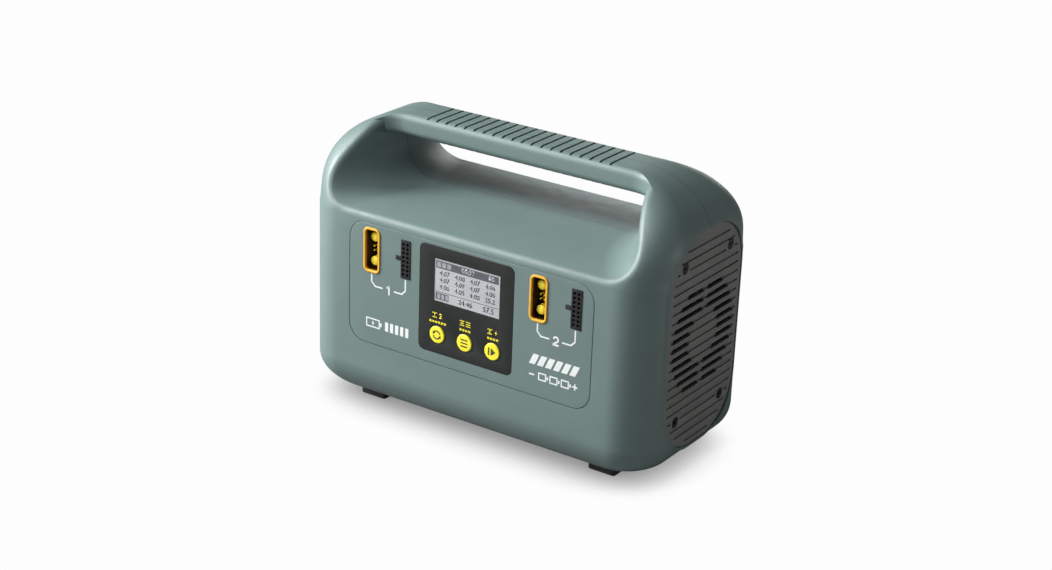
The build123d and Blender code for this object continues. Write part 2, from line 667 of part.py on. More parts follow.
# ---------------------------------------------------------------- charging outlets
RIM = 1.7
OUTLET_DEEP = 12.0
CONTACT_R = 3.3
CONTACT_BORE = 1.7
CONTACT_SPREAD = 8.4       # half of the distance between the two power contacts
CONTACT_TIP = FRONT_Y - CONNECTOR_PROUD + 3.6
SIGNAL_R = 0.55
SIGNAL_STEP = 1.5

for number, (x, z) in enumerate(CONNECTORS, 1):
    with BuildPart() as outlet:
        with BuildSketch(front_plane(CONTROL_Y)):
            with Locations((x, z)):
                RectangleRounded(CONNECTOR_W, CONNECTOR_H, CONNECTOR_CORNER)
        extrude(amount=CONTROL_Y - FRONT_Y + CONNECTOR_PROUD)
        with BuildSketch(front_plane(FRONT_Y - CONNECTOR_PROUD)):
            with Locations((x, z)):
                RectangleRounded(CONNECTOR_W - 2 * RIM, CONNECTOR_H - 2 * RIM, CONNECTOR_CORNER - RIM)
        extrude(amount=-OUTLET_DEEP, mode=Mode.SUBTRACT)
        fillet(outlet.faces().sort_by(Axis.Y)[0].edges(), 0.5)
        with BuildSketch(front_plane(CONTROL_Y)):
            with Locations((x, z - CONTACT_SPREAD), (x, z + CONTACT_SPREAD)):
                Circle(CONTACT_R + THREAD_FIT)
            with Locations((x, z)):
                with GridLocations(2 * SIGNAL_STEP, 2 * SIGNAL_STEP, 2, 2):
                    Circle(SIGNAL_R + THREAD_FIT)
        extrude(amount=8, mode=Mode.SUBTRACT)
    save(outlet.part, f"power_outlet_{number}")
    with BuildPart() as contacts:
        with BuildSketch(front_plane(CONTROL_Y)):
            with Locations((x, z - CONTACT_SPREAD), (x, z + CONTACT_SPREAD)):
                Circle(CONTACT_R)
        extrude(amount=CONTROL_Y - CONTACT_TIP)
        fillet(contacts.faces().filter_by(Plane.XZ).group_by(Axis.Y)[0].edges(), 0.6)
        with BuildSketch(front_plane(CONTACT_TIP)):
            with Locations((x, z - CONTACT_SPREAD), (x, z + CONTACT_SPREAD)):
                Circle(CONTACT_BORE)
        extrude(amount=-7, mode=Mode.SUBTRACT)
        with BuildSketch(front_plane(CONTROL_Y)):
            with Locations((x, z)):
                with GridLocations(2 * SIGNAL_STEP, 2 * SIGNAL_STEP, 2, 2):
                    Circle(SIGNAL_R)
        extrude(amount=CONTROL_Y - CONTACT_TIP - 1.5)
    save(contacts.part, f"outlet_contacts_{number}")

PIN = 0.64
PORT_HOLE_DEEP = 8.0
for number, (x, z) in enumerate(PORTS, 1):
    with BuildPart() as port:
        with BuildSketch(front_plane(CONTROL_Y)):
            with Locations((x, z)):
                Rectangle(PORT_W, PORT_H)
            with Locations((x - (PORT_W + TAB_W) / 2 + 0.1, z)):
                Rectangle(TAB_W + 0.2, TAB_H)
        extrude(amount=CONTROL_Y - FRONT_Y + PORT_PROUD)
        with BuildSketch(front_plane(FRONT_Y - PORT_PROUD)):
            with Locations((x, z)):
                with GridLocations(PORT_PITCH + 0.4, PORT_PITCH, 2, PORT_ROWS):
                    Rectangle(PORT_HOLE, PORT_HOLE)
        extrude(amount=-PORT_HOLE_DEEP, mode=Mode.SUBTRACT)
        with BuildSketch(front_plane(CONTROL_Y)):
            with Locations((x, z)):
                with GridLocations(PORT_PITCH + 0.4, PORT_PITCH, 2, PORT_ROWS):
                    Rectangle(PIN + 0.1, PIN + 0.1)
        extrude(amount=9, mode=Mode.SUBTRACT)
    save(port.part, f"balance_port_{number}")
    with BuildPart() as pins:
        with BuildSketch(front_plane(CONTROL_Y)):
            with Locations((x, z)):
                with GridLocations(PORT_PITCH + 0.4, PORT_PITCH, 2, PORT_ROWS):
                    Rectangle(PIN, PIN)
        extrude(amount=12.5)
    save(pins.part, f"balance_pins_{number}")

# ---------------------------------------------------------------- side grilles
GRILLE_EDGE = 3.6


def slot_half(z):
    """Half length of the groove at height z, a fixed margin inside the grille's outline."""
    radius = GRILLE_CORNER - GRILLE_EDGE
    half = GRILLE_W / 2 - GRILLE_EDGE
    straight = GRILLE_H / 2 - GRILLE_CORNER
    over = max(0.0, abs(z - GRILLE_Z) - straight)
    return half - radius + math.sqrt(max(0.0, radius**2 - over**2))


def slot_sketches():
    """Grooves as (y centre, z, length) and air slots likewise, in the grille's own plane."""
    thin = []
    wide = []
    for row in range(-SLOT_BELOW, SLOT_ABOVE + 1):
        z = SLOT_MIDDLE + row * SLOT_PITCH
        reach = slot_half(z)
        near_screw = min(abs(z - level) for level in GRILLE_SCREW_Z) < SLOT_PITCH / 2
        if near_screw:
            inner = GRILLE_SCREW_Y - 5.6
            stub = reach - GRILLE_SCREW_Y - 5.6
            thin.append((0, z, 2 * inner))
            for side in (-1, 1):
                thin.append((side * (reach - stub / 2), z, stub))
        else:
            thin.append((0, z, 2 * reach))
        rise = abs(z - FAN_Z)
        if rise < AIR_R - 1.5:
            outer = math.sqrt(AIR_R**2 - rise**2)
            inner = math.sqrt(HUB_R**2 - rise**2) if rise < HUB_R else 1.8
            if outer - inner > SLOT_WIDE:
                for side in (-1, 1):
                    wide.append((side * (inner + outer) / 2, z, outer - inner))
    return thin, wide


thin_slots, air_slots = slot_sketches()
FAN_HOLES = [(y, FAN_Z + z) for y in (-FAN_HOLE, FAN_HOLE) for z in (-FAN_HOLE, FAN_HOLE)]
for name, side in (("left_grille", -1), ("right_grille", 1)):
    face = Plane(origin=(side * GRILLE_FACE, 0, 0), x_dir=(0, side, 0), z_dir=(side, 0, 0))
    back = face.offset(-GRILLE_THICK)
    with BuildPart() as grille:
        with BuildSketch(back):
            with Locations((0, GRILLE_Z)):
                RectangleRounded(GRILLE_W, GRILLE_H, GRILLE_CORNER)
        extrude(amount=GRILLE_THICK)
        fillet(grille.edges().group_by(Axis.X)[-1 if side > 0 else 0], 0.5)
        with BuildSketch(face):
            for y, z, length in thin_slots:
                with Locations((y, z)):
                    if length > 2 * SLOT_THIN:
                        SlotOverall(length, SLOT_THIN)
                    else:
                        Rectangle(SLOT_THIN, SLOT_THIN)
        extrude(amount=-SLOT_DEEP, mode=Mode.SUBTRACT)
        with BuildSketch(face):
            for y, z, length in air_slots:
                with Locations((y, z)):
                    Rectangle(length, SLOT_WIDE)
        extrude(amount=-GRILLE_THICK, mode=Mode.SUBTRACT)
        with BuildSketch(face):
            with Locations(*GRILLE_SCREWS):
                Circle(3.9)
        extrude(amount=-1.5, mode=Mode.SUBTRACT)
        with BuildSketch(face):
            with Locations(*GRILLE_SCREWS):
                Circle(1.6)
        extrude(amount=-GRILLE_THICK, mode=Mode.SUBTRACT)
        with BuildSketch(back):
            with Locations(*FAN_HOLES):
                Circle(2.0 + THREAD_FIT)
        extrude(amount=1.7, mode=Mode.SUBTRACT)
    save(grille.part, name)

screw_sets = []
for side in (-1, 1):
    seat = Plane(origin=(side * (GRILLE_FACE - 1.5), 0, 0), x_dir=(0, side, 0), z_dir=(side, 0, 0))
    screw_sets.append(screw(seat, GRILLE_SCREWS, 1.5, 8.5, 3.1, 1.2))
save(screw_sets[0] + screw_sets[1], "grille_screws")

# ---------------------------------------------------------------- fans
FAN_FACE = SEAT_DEEP
FAN_BACK = FAN_FACE - FAN_THICK
CUP_R = 16.0
CUP_FLOOR = 3.0
BEARING_R = 4.0
BEARING_LONG = 9.0
ROTOR_GAP = 1.0
HUB_LONG = 19.0
COLLAR_R = 2.3
COLLAR_LONG = 1.2


def make_fan_frame(side):
    """Square fan frame: round duct, four corner holes, bearing tube on four arms."""
    back = Plane(origin=(side * FAN_BACK, 0, 0), x_dir=(0, side, 0), z_dir=(side, 0, 0))
    with BuildPart() as fan_frame:
        with BuildSketch(back):
            with Locations((0, FAN_Z)):
                RectangleRounded(FAN, FAN, 4)
                Circle(FAN_BORE, mode=Mode.SUBTRACT)
            with Locations(*FAN_HOLES):
                Circle(2.2, mode=Mode.SUBTRACT)
        extrude(amount=FAN_THICK)
        with BuildSketch(back):
            with Locations((0, FAN_Z)):
                Circle(CUP_R)
                Rectangle(2 * FAN_BORE + 2, 4, rotation=45)
                Rectangle(2 * FAN_BORE + 2, 4, rotation=-45)
        extrude(amount=CUP_FLOOR)
        with BuildSketch(back):
            with Locations((0, FAN_Z)):
                Circle(BEARING_R)
        extrude(amount=BEARING_LONG)
        with BuildSketch(back):
            with Locations((0, FAN_Z)):
                Circle(SHAFT_R + SHAFT_FIT)
        extrude(amount=BEARING_LONG, mode=Mode.SUBTRACT)
        with BuildSketch(back):
            with Locations((0, FAN_Z)):
                Circle(COLLAR_R + 0.4)
        extrude(amount=COLLAR_LONG + 0.4, mode=Mode.SUBTRACT)
    return fan_frame.part


def make_fan_rotor(side):
    """Hub cup with seven pitched blades and the shaft that turns in the frame's bearing."""
    back = Plane(origin=(side * FAN_BACK, 0, 0), x_dir=(0, side, 0), z_dir=(side, 0, 0))
    open_end = back.offset(CUP_FLOOR + ROTOR_GAP)
    top = back.offset(CUP_FLOOR + ROTOR_GAP + HUB_LONG)
    middle = CUP_FLOOR + ROTOR_GAP + HUB_LONG / 2
    with BuildPart() as rotor:
        with BuildSketch(open_end):
            with Locations((0, FAN_Z)):
                Circle(HUB_R)
        extrude(amount=HUB_LONG)
        fillet(rotor.faces().sort_by(Axis.X)[-1 if side > 0 else 0].edges(), 1.5)
        with BuildSketch(open_end):
            with Locations((0, FAN_Z)):
                Circle(HUB_R - 1.8)
        extrude(amount=HUB_LONG - 3, mode=Mode.SUBTRACT)
        for blade in range(BLADES):
            turn = math.radians(360 / BLADES * blade)
            outward = Vector(0, math.cos(turn), math.sin(turn))
            for radius, chord, pitch in ((HUB_R - 1.0, 17.0, 42.0), (36.0, 23.0, 30.0)):
                root = Vector(side * (FAN_BACK + middle), 0, FAN_Z) + outward * radius
                with BuildSketch(Plane(origin=root, x_dir=(1, 0, 0), z_dir=outward)):
                    RectangleRounded(chord, 1.5, 0.7, rotation=90 - pitch)
            loft()
        with BuildSketch(top.offset(-3)):
            with Locations((0, FAN_Z)):
                Circle(SHAFT_R)
        extrude(amount=-(CUP_FLOOR + ROTOR_GAP + HUB_LONG - 3) + 0.1)
        with BuildSketch(back.offset(0.1)):
            with Locations((0, FAN_Z)):
                Circle(COLLAR_R)
        extrude(amount=COLLAR_LONG)
    return rotor.part


for name, side in (("left", -1), ("right", 1)):
    save(make_fan_frame(side), f"{name}_fan_frame")
    save(make_fan_rotor(side), f"{name}_fan_rotor")

fan_screw_sets = []
for side in (-1, 1):
    inner = Plane(origin=(side * FAN_BACK, 0, 0), x_dir=(0, side, 0), z_dir=(-side, 0, 0))
    spots = [(y if side > 0 else -y, -z) for y, z in FAN_HOLES]
    fan_screw_sets.append(screw(inner, spots, 2.0, FAN_THICK + 1.5, 3.6, 2.4))
save(fan_screw_sets[0] + fan_screw_sets[1], "fan_screws")

# ---------------------------------------------------------------- feet
FOOT_RECESS = 3.2
foot_screws = screw(Plane.XY.offset(FOOT_RECESS), FEET, 1.5, FOOT_SCREW_TOP - FOOT_RECESS, 2.8, 1.8)
save(foot_screws.mirror(Plane.XY.offset(FOOT_RECESS)), "foot_screws")
for name, (x, y) in zip(("foot_front_left", "foot_rear_left", "foot_front_right", "foot_rear_right"), FEET):
    with BuildPart() as foot:
        with BuildSketch(Plane.XY):
            with Locations((x, y)):
                RectangleRounded(FOOT_W, FOOT_D, 2.0)
        extrude(amount=FOOT_SEAT)
        fillet(foot.faces().sort_by(Axis.Z)[0].edges(), 1.0)
        with BuildSketch(Plane.XY):
            with Locations((x, y)):
                Circle(3.2)
        extrude(amount=FOOT_RECESS, mode=Mode.SUBTRACT)
        with BuildSketch(Plane.XY):
            with Locations((x, y)):
                Circle(1.7)
        extrude(amount=FOOT_SEAT, mode=Mode.SUBTRACT)
    save(foot.part, name)

# ---------------------------------------------------------------- rear mains inlet, fuse drawer and switch
INLET_SOCKET_W = 22.5
INLET_SOCKET_H = 15.5
INLET_SOCKET_DEEP = 16.0
INLET_BLADES = [(INLET_X + x, INLET_SOCKET_Z + z) for x, z in ((0, 2.2), (-7.0, -2.0), (7.0, -2.0))]
BLADE_W = 2.0
BLADE_H = 4.0
BLADE_TAB = 7.0
REAR_FACE = front_plane(REAR_Y)
FLANGE_FACE = front_plane(REAR_Y + INLET_FLANGE)
DRAWER_LIP = 1.8
FUSE_R = 2.5
FUSE_LONG = 16.0
FUSE_CAP = 5.0
FUSE_SPOT = (REAR_Y + INLET_FLANGE - DRAWER_DEEP / 2 - 1, DRAWER_Z - DRAWER_H / 2 + 1.6 + FUSE_R)

with BuildPart() as ac_inlet:
    with BuildSketch(FLANGE_FACE):
        with Locations((INLET_X, INLET_Z)):
            RectangleRounded(INLET_FLANGE_W, INLET_FLANGE_H, 4)
    extrude(amount=INLET_FLANGE)
    fillet(ac_inlet.faces().sort_by(Axis.Y)[-1].edges(), 0.8)
    with BuildSketch(REAR_FACE):
        with Locations((INLET_X, INLET_Z)):
            Rectangle(INLET_BODY_W, INLET_BODY_H)
    extrude(amount=INLET_DEEP)
    with BuildSketch(FLANGE_FACE):
        with Locations((INLET_X, INLET_SOCKET_Z)):
            RectangleRounded(INLET_SOCKET_W, INLET_SOCKET_H, 2.5)
    extrude(amount=INLET_SOCKET_DEEP, mode=Mode.SUBTRACT)
    with BuildSketch(FLANGE_FACE):
        with Locations((INLET_X, DRAWER_Z)):
            Rectangle(DRAWER_W + 2 * DRAWER_FIT, DRAWER_H + 2 * DRAWER_FIT)
    extrude(amount=DRAWER_DEEP + INLET_FLANGE + 1, mode=Mode.SUBTRACT)
    with BuildSketch(FLANGE_FACE):
        with Locations(*INLET_SCREWS):
            Circle(1.7)
    extrude(amount=INLET_FLANGE, mode=Mode.SUBTRACT)
    with BuildSketch(front_plane(REAR_Y - INLET_DEEP)):
        with Locations(*INLET_BLADES):
            Rectangle(BLADE_W + 0.1, BLADE_H + 0.1)
    extrude(amount=-(INLET_DEEP - 8), mode=Mode.SUBTRACT)
save(ac_inlet.part, "ac_inlet")

with BuildPart() as inlet_blades:
    with BuildSketch(front_plane(REAR_Y - INLET_DEEP - BLADE_TAB)):
        with Locations(*INLET_BLADES):
            Rectangle(BLADE_W, BLADE_H)
    extrude(amount=-(INLET_DEEP + BLADE_TAB - 4))
save(inlet_blades.part, "inlet_blades")

save(screw(FLANGE_FACE, INLET_SCREWS, 1.5, INLET_FLANGE + 8, 2.8, 1.6).mirror(FLANGE_FACE), "inlet_screws")
with BuildPart() as inlet_nuts:
    with BuildSketch(front_plane(REAR_Y - WALL)):
        with Locations(*INLET_SCREWS):
            RegularPolygon(3.1, 6)
            Circle(1.5 + THREAD_FIT, mode=Mode.SUBTRACT)
    extrude(amount=2.4)
save(inlet_nuts.part, "inlet_nuts")

with BuildPart() as fuse_drawer:
    with BuildSketch(front_plane(REAR_Y + INLET_FLANGE - DRAWER_DEEP)):
        with Locations((INLET_X, DRAWER_Z)):
            Rectangle(DRAWER_W, DRAWER_H)
    extrude(amount=-DRAWER_DEEP)
    with BuildSketch(FLANGE_FACE):
        with Locations((INLET_X, DRAWER_Z)):
            RectangleRounded(DRAWER_W + 2, DRAWER_H + 2, 1)
    extrude(amount=-DRAWER_LIP)
    with BuildSketch(Plane.XY.offset(DRAWER_Z + DRAWER_H / 2)):
        with Locations((INLET_X, REAR_Y + INLET_FLANGE - DRAWER_DEEP / 2 - 1)):
            Rectangle(FUSE_LONG + 0.6, DRAWER_DEEP - 6)
    extrude(amount=-(DRAWER_H - 1.6), mode=Mode.SUBTRACT)
    with BuildSketch(front_plane(REAR_Y + INLET_FLANGE + DRAWER_LIP)):
        with Locations((INLET_X, DRAWER_Z + 2.5)):
            Rectangle(9, 2.4)
    extrude(amount=DRAWER_LIP * 0.6, mode=Mode.SUBTRACT)
save(fuse_drawer.part, "fuse_drawer")

with BuildPart() as fuse:
    with BuildSketch(Plane.YZ.offset(INLET_X - FUSE_LONG / 2)):
        with Locations(FUSE_SPOT):
            Circle(FUSE_R)
    extrude(amount=FUSE_LONG)
    with BuildSketch(Plane.YZ.offset(INLET_X - FUSE_LONG / 2 + FUSE_CAP)):
        with Locations(FUSE_SPOT):
            Circle(FUSE_R)
            Circle(FUSE_R - 0.25, mode=Mode.SUBTRACT)
    extrude(amount=FUSE_LONG - 2 * FUSE_CAP, mode=Mode.SUBTRACT)
save(fuse.part, "fuse")

SWITCH_FACE = front_plane(REAR_Y + SWITCH_FLANGE)
with BuildPart() as switch_body:
    with BuildSketch(SWITCH_FACE):
        with Locations((SWITCH_X, SWITCH_Z)):
            RectangleRounded(SWITCH_FLANGE_W, SWITCH_FLANGE_H, 1.5)
    extrude(amount=SWITCH_FLANGE)
    fillet(switch_body.faces().sort_by(Axis.Y)[-1].edges(), 0.6)
    with BuildSketch(REAR_FACE):
        with Locations((SWITCH_X, SWITCH_Z)):
            Rectangle(SWITCH_BODY_W, SWITCH_BODY_H)
    extrude(amount=SWITCH_DEEP)
    with BuildSketch(SWITCH_FACE):
        with Locations((SWITCH_X, SWITCH_Z)):
            Rectangle(ROCKER_W + 0.5, 2 * ROCKER_R - 0.4)
    extrude(amount=SWITCH_FLANGE + 10, mode=Mode.SUBTRACT)
    with BuildSketch(Plane.YZ.offset(SWITCH_X - SWITCH_BODY_W / 2 + 0.6)):
        with Locations((ROCKER_Y, SWITCH_Z)):
            Circle(ROCKER_PIN + SHAFT_FIT)
    extrude(amount=SWITCH_BODY_W - 1.2, mode=Mode.SUBTRACT)
save(switch_body.part, "switch_body")

ROCKER_HALF = 7.4
ROCKER_RISE = 6.2
ROCKER_WAIST = 4.2
ROCKER_KEEL = 2.2
rocker_turn = math.radians(ROCKER_TILT)
rocker_plane = Plane(
    origin=(SWITCH_X - ROCKER_W / 2, ROCKER_Y, SWITCH_Z),
    x_dir=(0, math.cos(rocker_turn), math.sin(rocker_turn)),
    z_dir=(1, 0, 0),
)
with BuildPart() as rocker:
    # drawn level about its pin, tilted to its off position, then given its pin
    with BuildSketch(rocker_plane):
        with BuildLine():
            tip = (ROCKER_RISE, ROCKER_HALF)
            heel = (ROCKER_RISE, -ROCKER_HALF)
            top = ThreePointArc(tip, (ROCKER_WAIST, 0), heel)
            Polyline(
                top @ 1, (0, -ROCKER_HALF), (-ROCKER_KEEL, -ROCKER_KEEL),
                (-ROCKER_KEEL, ROCKER_KEEL), (0, ROCKER_HALF), top @ 0,
            )
        make_face()
    extrude(amount=ROCKER_W)
    with BuildSketch(Plane.YZ.offset(SWITCH_X - ROCKER_W / 2 - 1.0)):
        with Locations((ROCKER_Y, SWITCH_Z)):
            Circle(ROCKER_PIN)
    extrude(amount=ROCKER_W + 2.0)
save(rocker.part, "rocker")

# ---------------------------------------------------------------- power board and what stands on it
BOARD_TOP = POWER_Z + BOARD_THICK

with BuildPart() as power_board:
    with BuildSketch(Plane.XY.offset(POWER_Z)):
        RectangleRounded(POWER_W, POWER_D, 3)
        with Locations(*STANDOFFS):
            Circle(1.7, mode=Mode.SUBTRACT)
    extrude(amount=BOARD_THICK)
save(power_board.part, "power_board")
save(screw(Plane.XY.offset(BOARD_TOP), STANDOFFS, 1.5, BOARD_THICK + 7, 2.8, 1.8), "power_board_screws")

CORE_X = -10.0
CORE_Y = 8.0
CORE_W = 42.0
CORE_D = 34.0
CORE_H = 36.0
with BuildPart() as transformer_core:
    with BuildSketch(front_plane(CORE_Y + CORE_D / 2)):
        with Locations((CORE_X, BOARD_TOP + CORE_H / 2)):
            Rectangle(CORE_W, CORE_H)
            for side in (-1, 1):
                with Locations((side * CORE_W * 0.245, 0)):
                    Rectangle(CORE_W * 0.25, CORE_H * 0.7, mode=Mode.SUBTRACT)
    extrude(amount=CORE_D)
    chamfer(transformer_core.edges().filter_by(Axis.Y).group_by(Axis.Z)[-1], 1.0)
save(transformer_core.part, "transformer_core")

with BuildPart() as transformer_winding:
    with BuildSketch(Plane.XY.offset(BOARD_TOP + CORE_H * 0.15)):
        with Locations((CORE_X, CORE_Y)):
            RectangleRounded(CORE_W * 0.735, CORE_D + 9, 6)
            Rectangle(CORE_W * 0.24, CORE_D + 0.1, mode=Mode.SUBTRACT)
    extrude(amount=CORE_H * 0.7)
    with BuildSketch(Plane.XY.offset(BOARD_TOP)):
        with Locations((CORE_X, CORE_Y)):
            with GridLocations(CORE_W * 0.5, CORE_D + 5.5, 2, 2):
                Rectangle(5, 2.6)
    extrude(amount=CORE_H * 0.15)
save(transformer_winding.part, "transformer_winding")

CAP_R = 11.0
CAP_TALL = 34.0
CAPACITORS = [(-86.0, 28.0), (-86.0, 4.0), (-62.0, 16.0)]
SMALL_CAPS = [(48.0, -30.0), (60.0, -30.0), (72.0, -30.0)]
with BuildPart() as capacitors:
    with BuildSketch(Plane.XY.offset(BOARD_TOP)):
        with Locations(*CAPACITORS):
            Circle(CAP_R)
    extrude(amount=CAP_TALL)
    with BuildSketch(Plane.XY.offset(BOARD_TOP)):
        with Locations(*SMALL_CAPS):
            Circle(5.0)
    extrude(amount=20)
    fillet(capacitors.edges().filter_by(GeomType.CIRCLE), 0.8)
save(capacitors.part, "capacitors")

CHOKE_X = 29.0
CHOKE_Y = 13.0
with BuildPart() as filter_choke:
    with BuildSketch(Plane(origin=(CHOKE_X, CHOKE_Y, BOARD_TOP + 17), x_dir=(1, 0, 0), z_dir=(0, -1, 0))):
        Circle(16.0)
        Circle(7.5, mode=Mode.SUBTRACT)
    extrude(amount=7, both=True)
    fillet(filter_choke.edges().filter_by(GeomType.CIRCLE), 3.5)
    with BuildSketch(Plane.XY.offset(BOARD_TOP)):
        with Locations((CHOKE_X, CHOKE_Y)):
            RectangleRounded(30, 14, 2)
    extrude(amount=3.5)
save(filter_choke.part, "filter_choke")

FINS = 8
SINK_LONG = 62.0
SINK_BASE = 3.0
SINK_TALL = 30.0
SINK_DEEP = 12.0
FRONT_SINK = (-14.0, -30.0, -1)    # middle, face that the transistors are clamped to, way the fins point
REAR_SINK = (68.0, 24.0, 1)
for name, (middle, base_y, away) in (("front_heat_sink", FRONT_SINK), ("rear_heat_sink", REAR_SINK)):
    with BuildPart() as sink:
        with BuildSketch(Plane.XY.offset(BOARD_TOP)):
            with Locations((middle, base_y + away * SINK_BASE / 2)):
                Rectangle(SINK_LONG, SINK_BASE)
            with Locations((middle, base_y + away * SINK_DEEP / 2)):
                with GridLocations(SINK_LONG / FINS, 0, FINS, 1):
                    Rectangle(1.6, SINK_DEEP)
        extrude(amount=SINK_TALL)
    save(sink.part, name)

CHIP_W = 10.0
CHIP_H = 15.0
CHIP_THICK = 4.5
CHIP_PITCH = 17.0
with BuildPart() as power_transistors:
    for middle, base_y, fins in (FRONT_SINK, REAR_SINK):
        with BuildSketch(front_plane(base_y + (CHIP_THICK if fins < 0 else 0))):
            with Locations((middle, BOARD_TOP + 6 + CHIP_H / 2)):
                with GridLocations(CHIP_PITCH, 0, 3, 1):
                    Rectangle(CHIP_W, CHIP_H)
        extrude(amount=CHIP_THICK)
        with BuildSketch(front_plane(base_y - fins * CHIP_THICK / 2 + 0.3)):
            with Locations((middle, BOARD_TOP + 3)):
                with GridLocations(CHIP_PITCH, 0, 3, 1):
                    with GridLocations(2.54, 0, 3, 1):
                        Rectangle(0.9, 6.0)
        extrude(amount=0.6)
save(power_transistors.part, "power_transistors")

# ---------------------------------------------------------------- wiring
def wire(points, radius, start_way, end_way):
    """Round lead through points, leaving and arriving along the given directions."""
    with BuildPart() as lead:
        with BuildLine() as path:
            Spline(*points, tangents=(start_way, end_way))
        with BuildSketch(Plane(origin=path.line @ 0, z_dir=path.line % 0)):
            Circle(radius)
        sweep(path=path.line)
    return lead.part


LEAD_R = 1.6
BOARD_BACK = CONTROL_Y + BOARD_THICK
with BuildPart() as output_leads:
    for x, z in CONNECTORS:
        inward = 1 if x < 0 else -1
        for k, side in enumerate((-1, 1)):
            points = ((x + 3 * side * inward, BOARD_BACK, z + CONTACT_SPREAD * side),
                      (x + inward * (4 + 6 * k), BOARD_BACK + 13, z - 26 + 3 * side),
                      (x + inward * (14 + 8 * k), -40 + 2 * k, BOARD_TOP))
            add(wire(points, LEAD_R, (0, 1, 0), (0, 0, -1)))
save(output_leads.part, "output_leads")

with BuildPart() as mains_leads:
    for k, (x, z) in enumerate(INLET_BLADES):
        start_y = REAR_Y - INLET_DEEP - BLADE_TAB
        end = (INLET_X - 62 + 9 * k, 40, BOARD_TOP)
        bend = ((x + end[0]) / 2, start_y - 6 - 2 * k, (z + end[2]) / 2 + 14 + 4 * k)
        add(wire(((x, start_y, z), bend, end), 1.3, (0, -1, 0), (0, 0, -1)))
save(mains_leads.part, "mains_leads")

RIBBON_W = 20.0
RIBBON_THICK = 0.9
RIBBON_X = -2.0
with BuildPart() as ribbon_cable:
    with BuildLine() as ribbon_path:
        Spline((RIBBON_X, BOARD_BACK, 66), (RIBBON_X, BOARD_BACK + 5, 50), (RIBBON_X, -44, BOARD_TOP),
               tangents=((0, 1, 0), (0, 0, -1)))
    with BuildSketch(Plane(origin=ribbon_path.line @ 0, x_dir=(1, 0, 0), z_dir=ribbon_path.line % 0)):
        Rectangle(RIBBON_W, RIBBON_THICK)
    sweep(path=ribbon_path.line)
save(ribbon_cable.part, "ribbon_cable")

with BuildPart() as fan_leads:
    for side in (-1, 1):
        for k in (-1, 1):
            start = (side * FAN_BACK, -26 + 1.5 * k, FAN_Z - 38)
            bend = (side * (FAN_BACK - 7), -34 + 1.5 * k, 42)
            points = (start, bend, (side * (FAN_BACK - 13), -43 + 1.5 * k, BOARD_TOP))
            add(wire(points, 0.7, (-side, 0, 0), (0, 0, -1)))
save(fan_leads.part, "fan_leads")
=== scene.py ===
import json
import math

import bmesh
import bpy
from mathutils import Matrix, Vector


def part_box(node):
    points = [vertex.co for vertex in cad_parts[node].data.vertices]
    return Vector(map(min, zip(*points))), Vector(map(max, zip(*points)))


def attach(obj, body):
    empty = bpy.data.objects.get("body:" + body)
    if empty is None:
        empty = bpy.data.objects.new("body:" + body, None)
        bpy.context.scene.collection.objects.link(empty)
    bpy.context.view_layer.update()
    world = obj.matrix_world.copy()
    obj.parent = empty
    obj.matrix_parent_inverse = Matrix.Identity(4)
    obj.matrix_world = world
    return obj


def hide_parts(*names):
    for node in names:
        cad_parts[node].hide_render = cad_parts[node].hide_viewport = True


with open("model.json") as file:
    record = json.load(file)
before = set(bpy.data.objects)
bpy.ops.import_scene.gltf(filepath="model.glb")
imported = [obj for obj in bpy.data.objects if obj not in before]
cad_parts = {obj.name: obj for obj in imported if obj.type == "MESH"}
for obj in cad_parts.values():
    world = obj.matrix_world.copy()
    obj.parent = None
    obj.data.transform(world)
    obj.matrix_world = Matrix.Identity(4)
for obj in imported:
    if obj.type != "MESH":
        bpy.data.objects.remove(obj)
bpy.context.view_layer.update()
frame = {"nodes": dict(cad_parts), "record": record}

# Looks of the balance battery charger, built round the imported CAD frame.
# Metres, in the CAD frame: X to the right seen from the front, the front faces -Y, +Z up.

MM = 0.001
NODES = frame["nodes"]


def low(node):
    """Lowest corner of a CAD node."""
    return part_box(node)[0]


def high(node):
    """Highest corner of a CAD node."""
    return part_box(node)[1]


def middle(node):
    """Centre of a CAD node's box."""
    return (low(node) + high(node)) / 2


# ---------------------------------------------------------------- materials
NOISE_LOW = 0.3               # most of a noise texture's values lie between these two
NOISE_HIGH = 0.7
BODY_COLOUR = (0.118, 0.172, 0.163)
DOT_ROW = 1.1 * MM            # pitch of the display's faint rows
CAVITY_SHADE_START = 0.9 * MM          # depth at which painted shade starts to darken an outlet's amber rim
CAVITY_SHADE_FULL = 2.4 * MM       # and the depth by which the painted shade is dark brown
CAN_TOP_START = 0.5 * MM      # where a capacitor's sleeve gives way to its bare top
CAN_TOP_END = 0.2 * MM
FUSE_CAP = 5 * MM


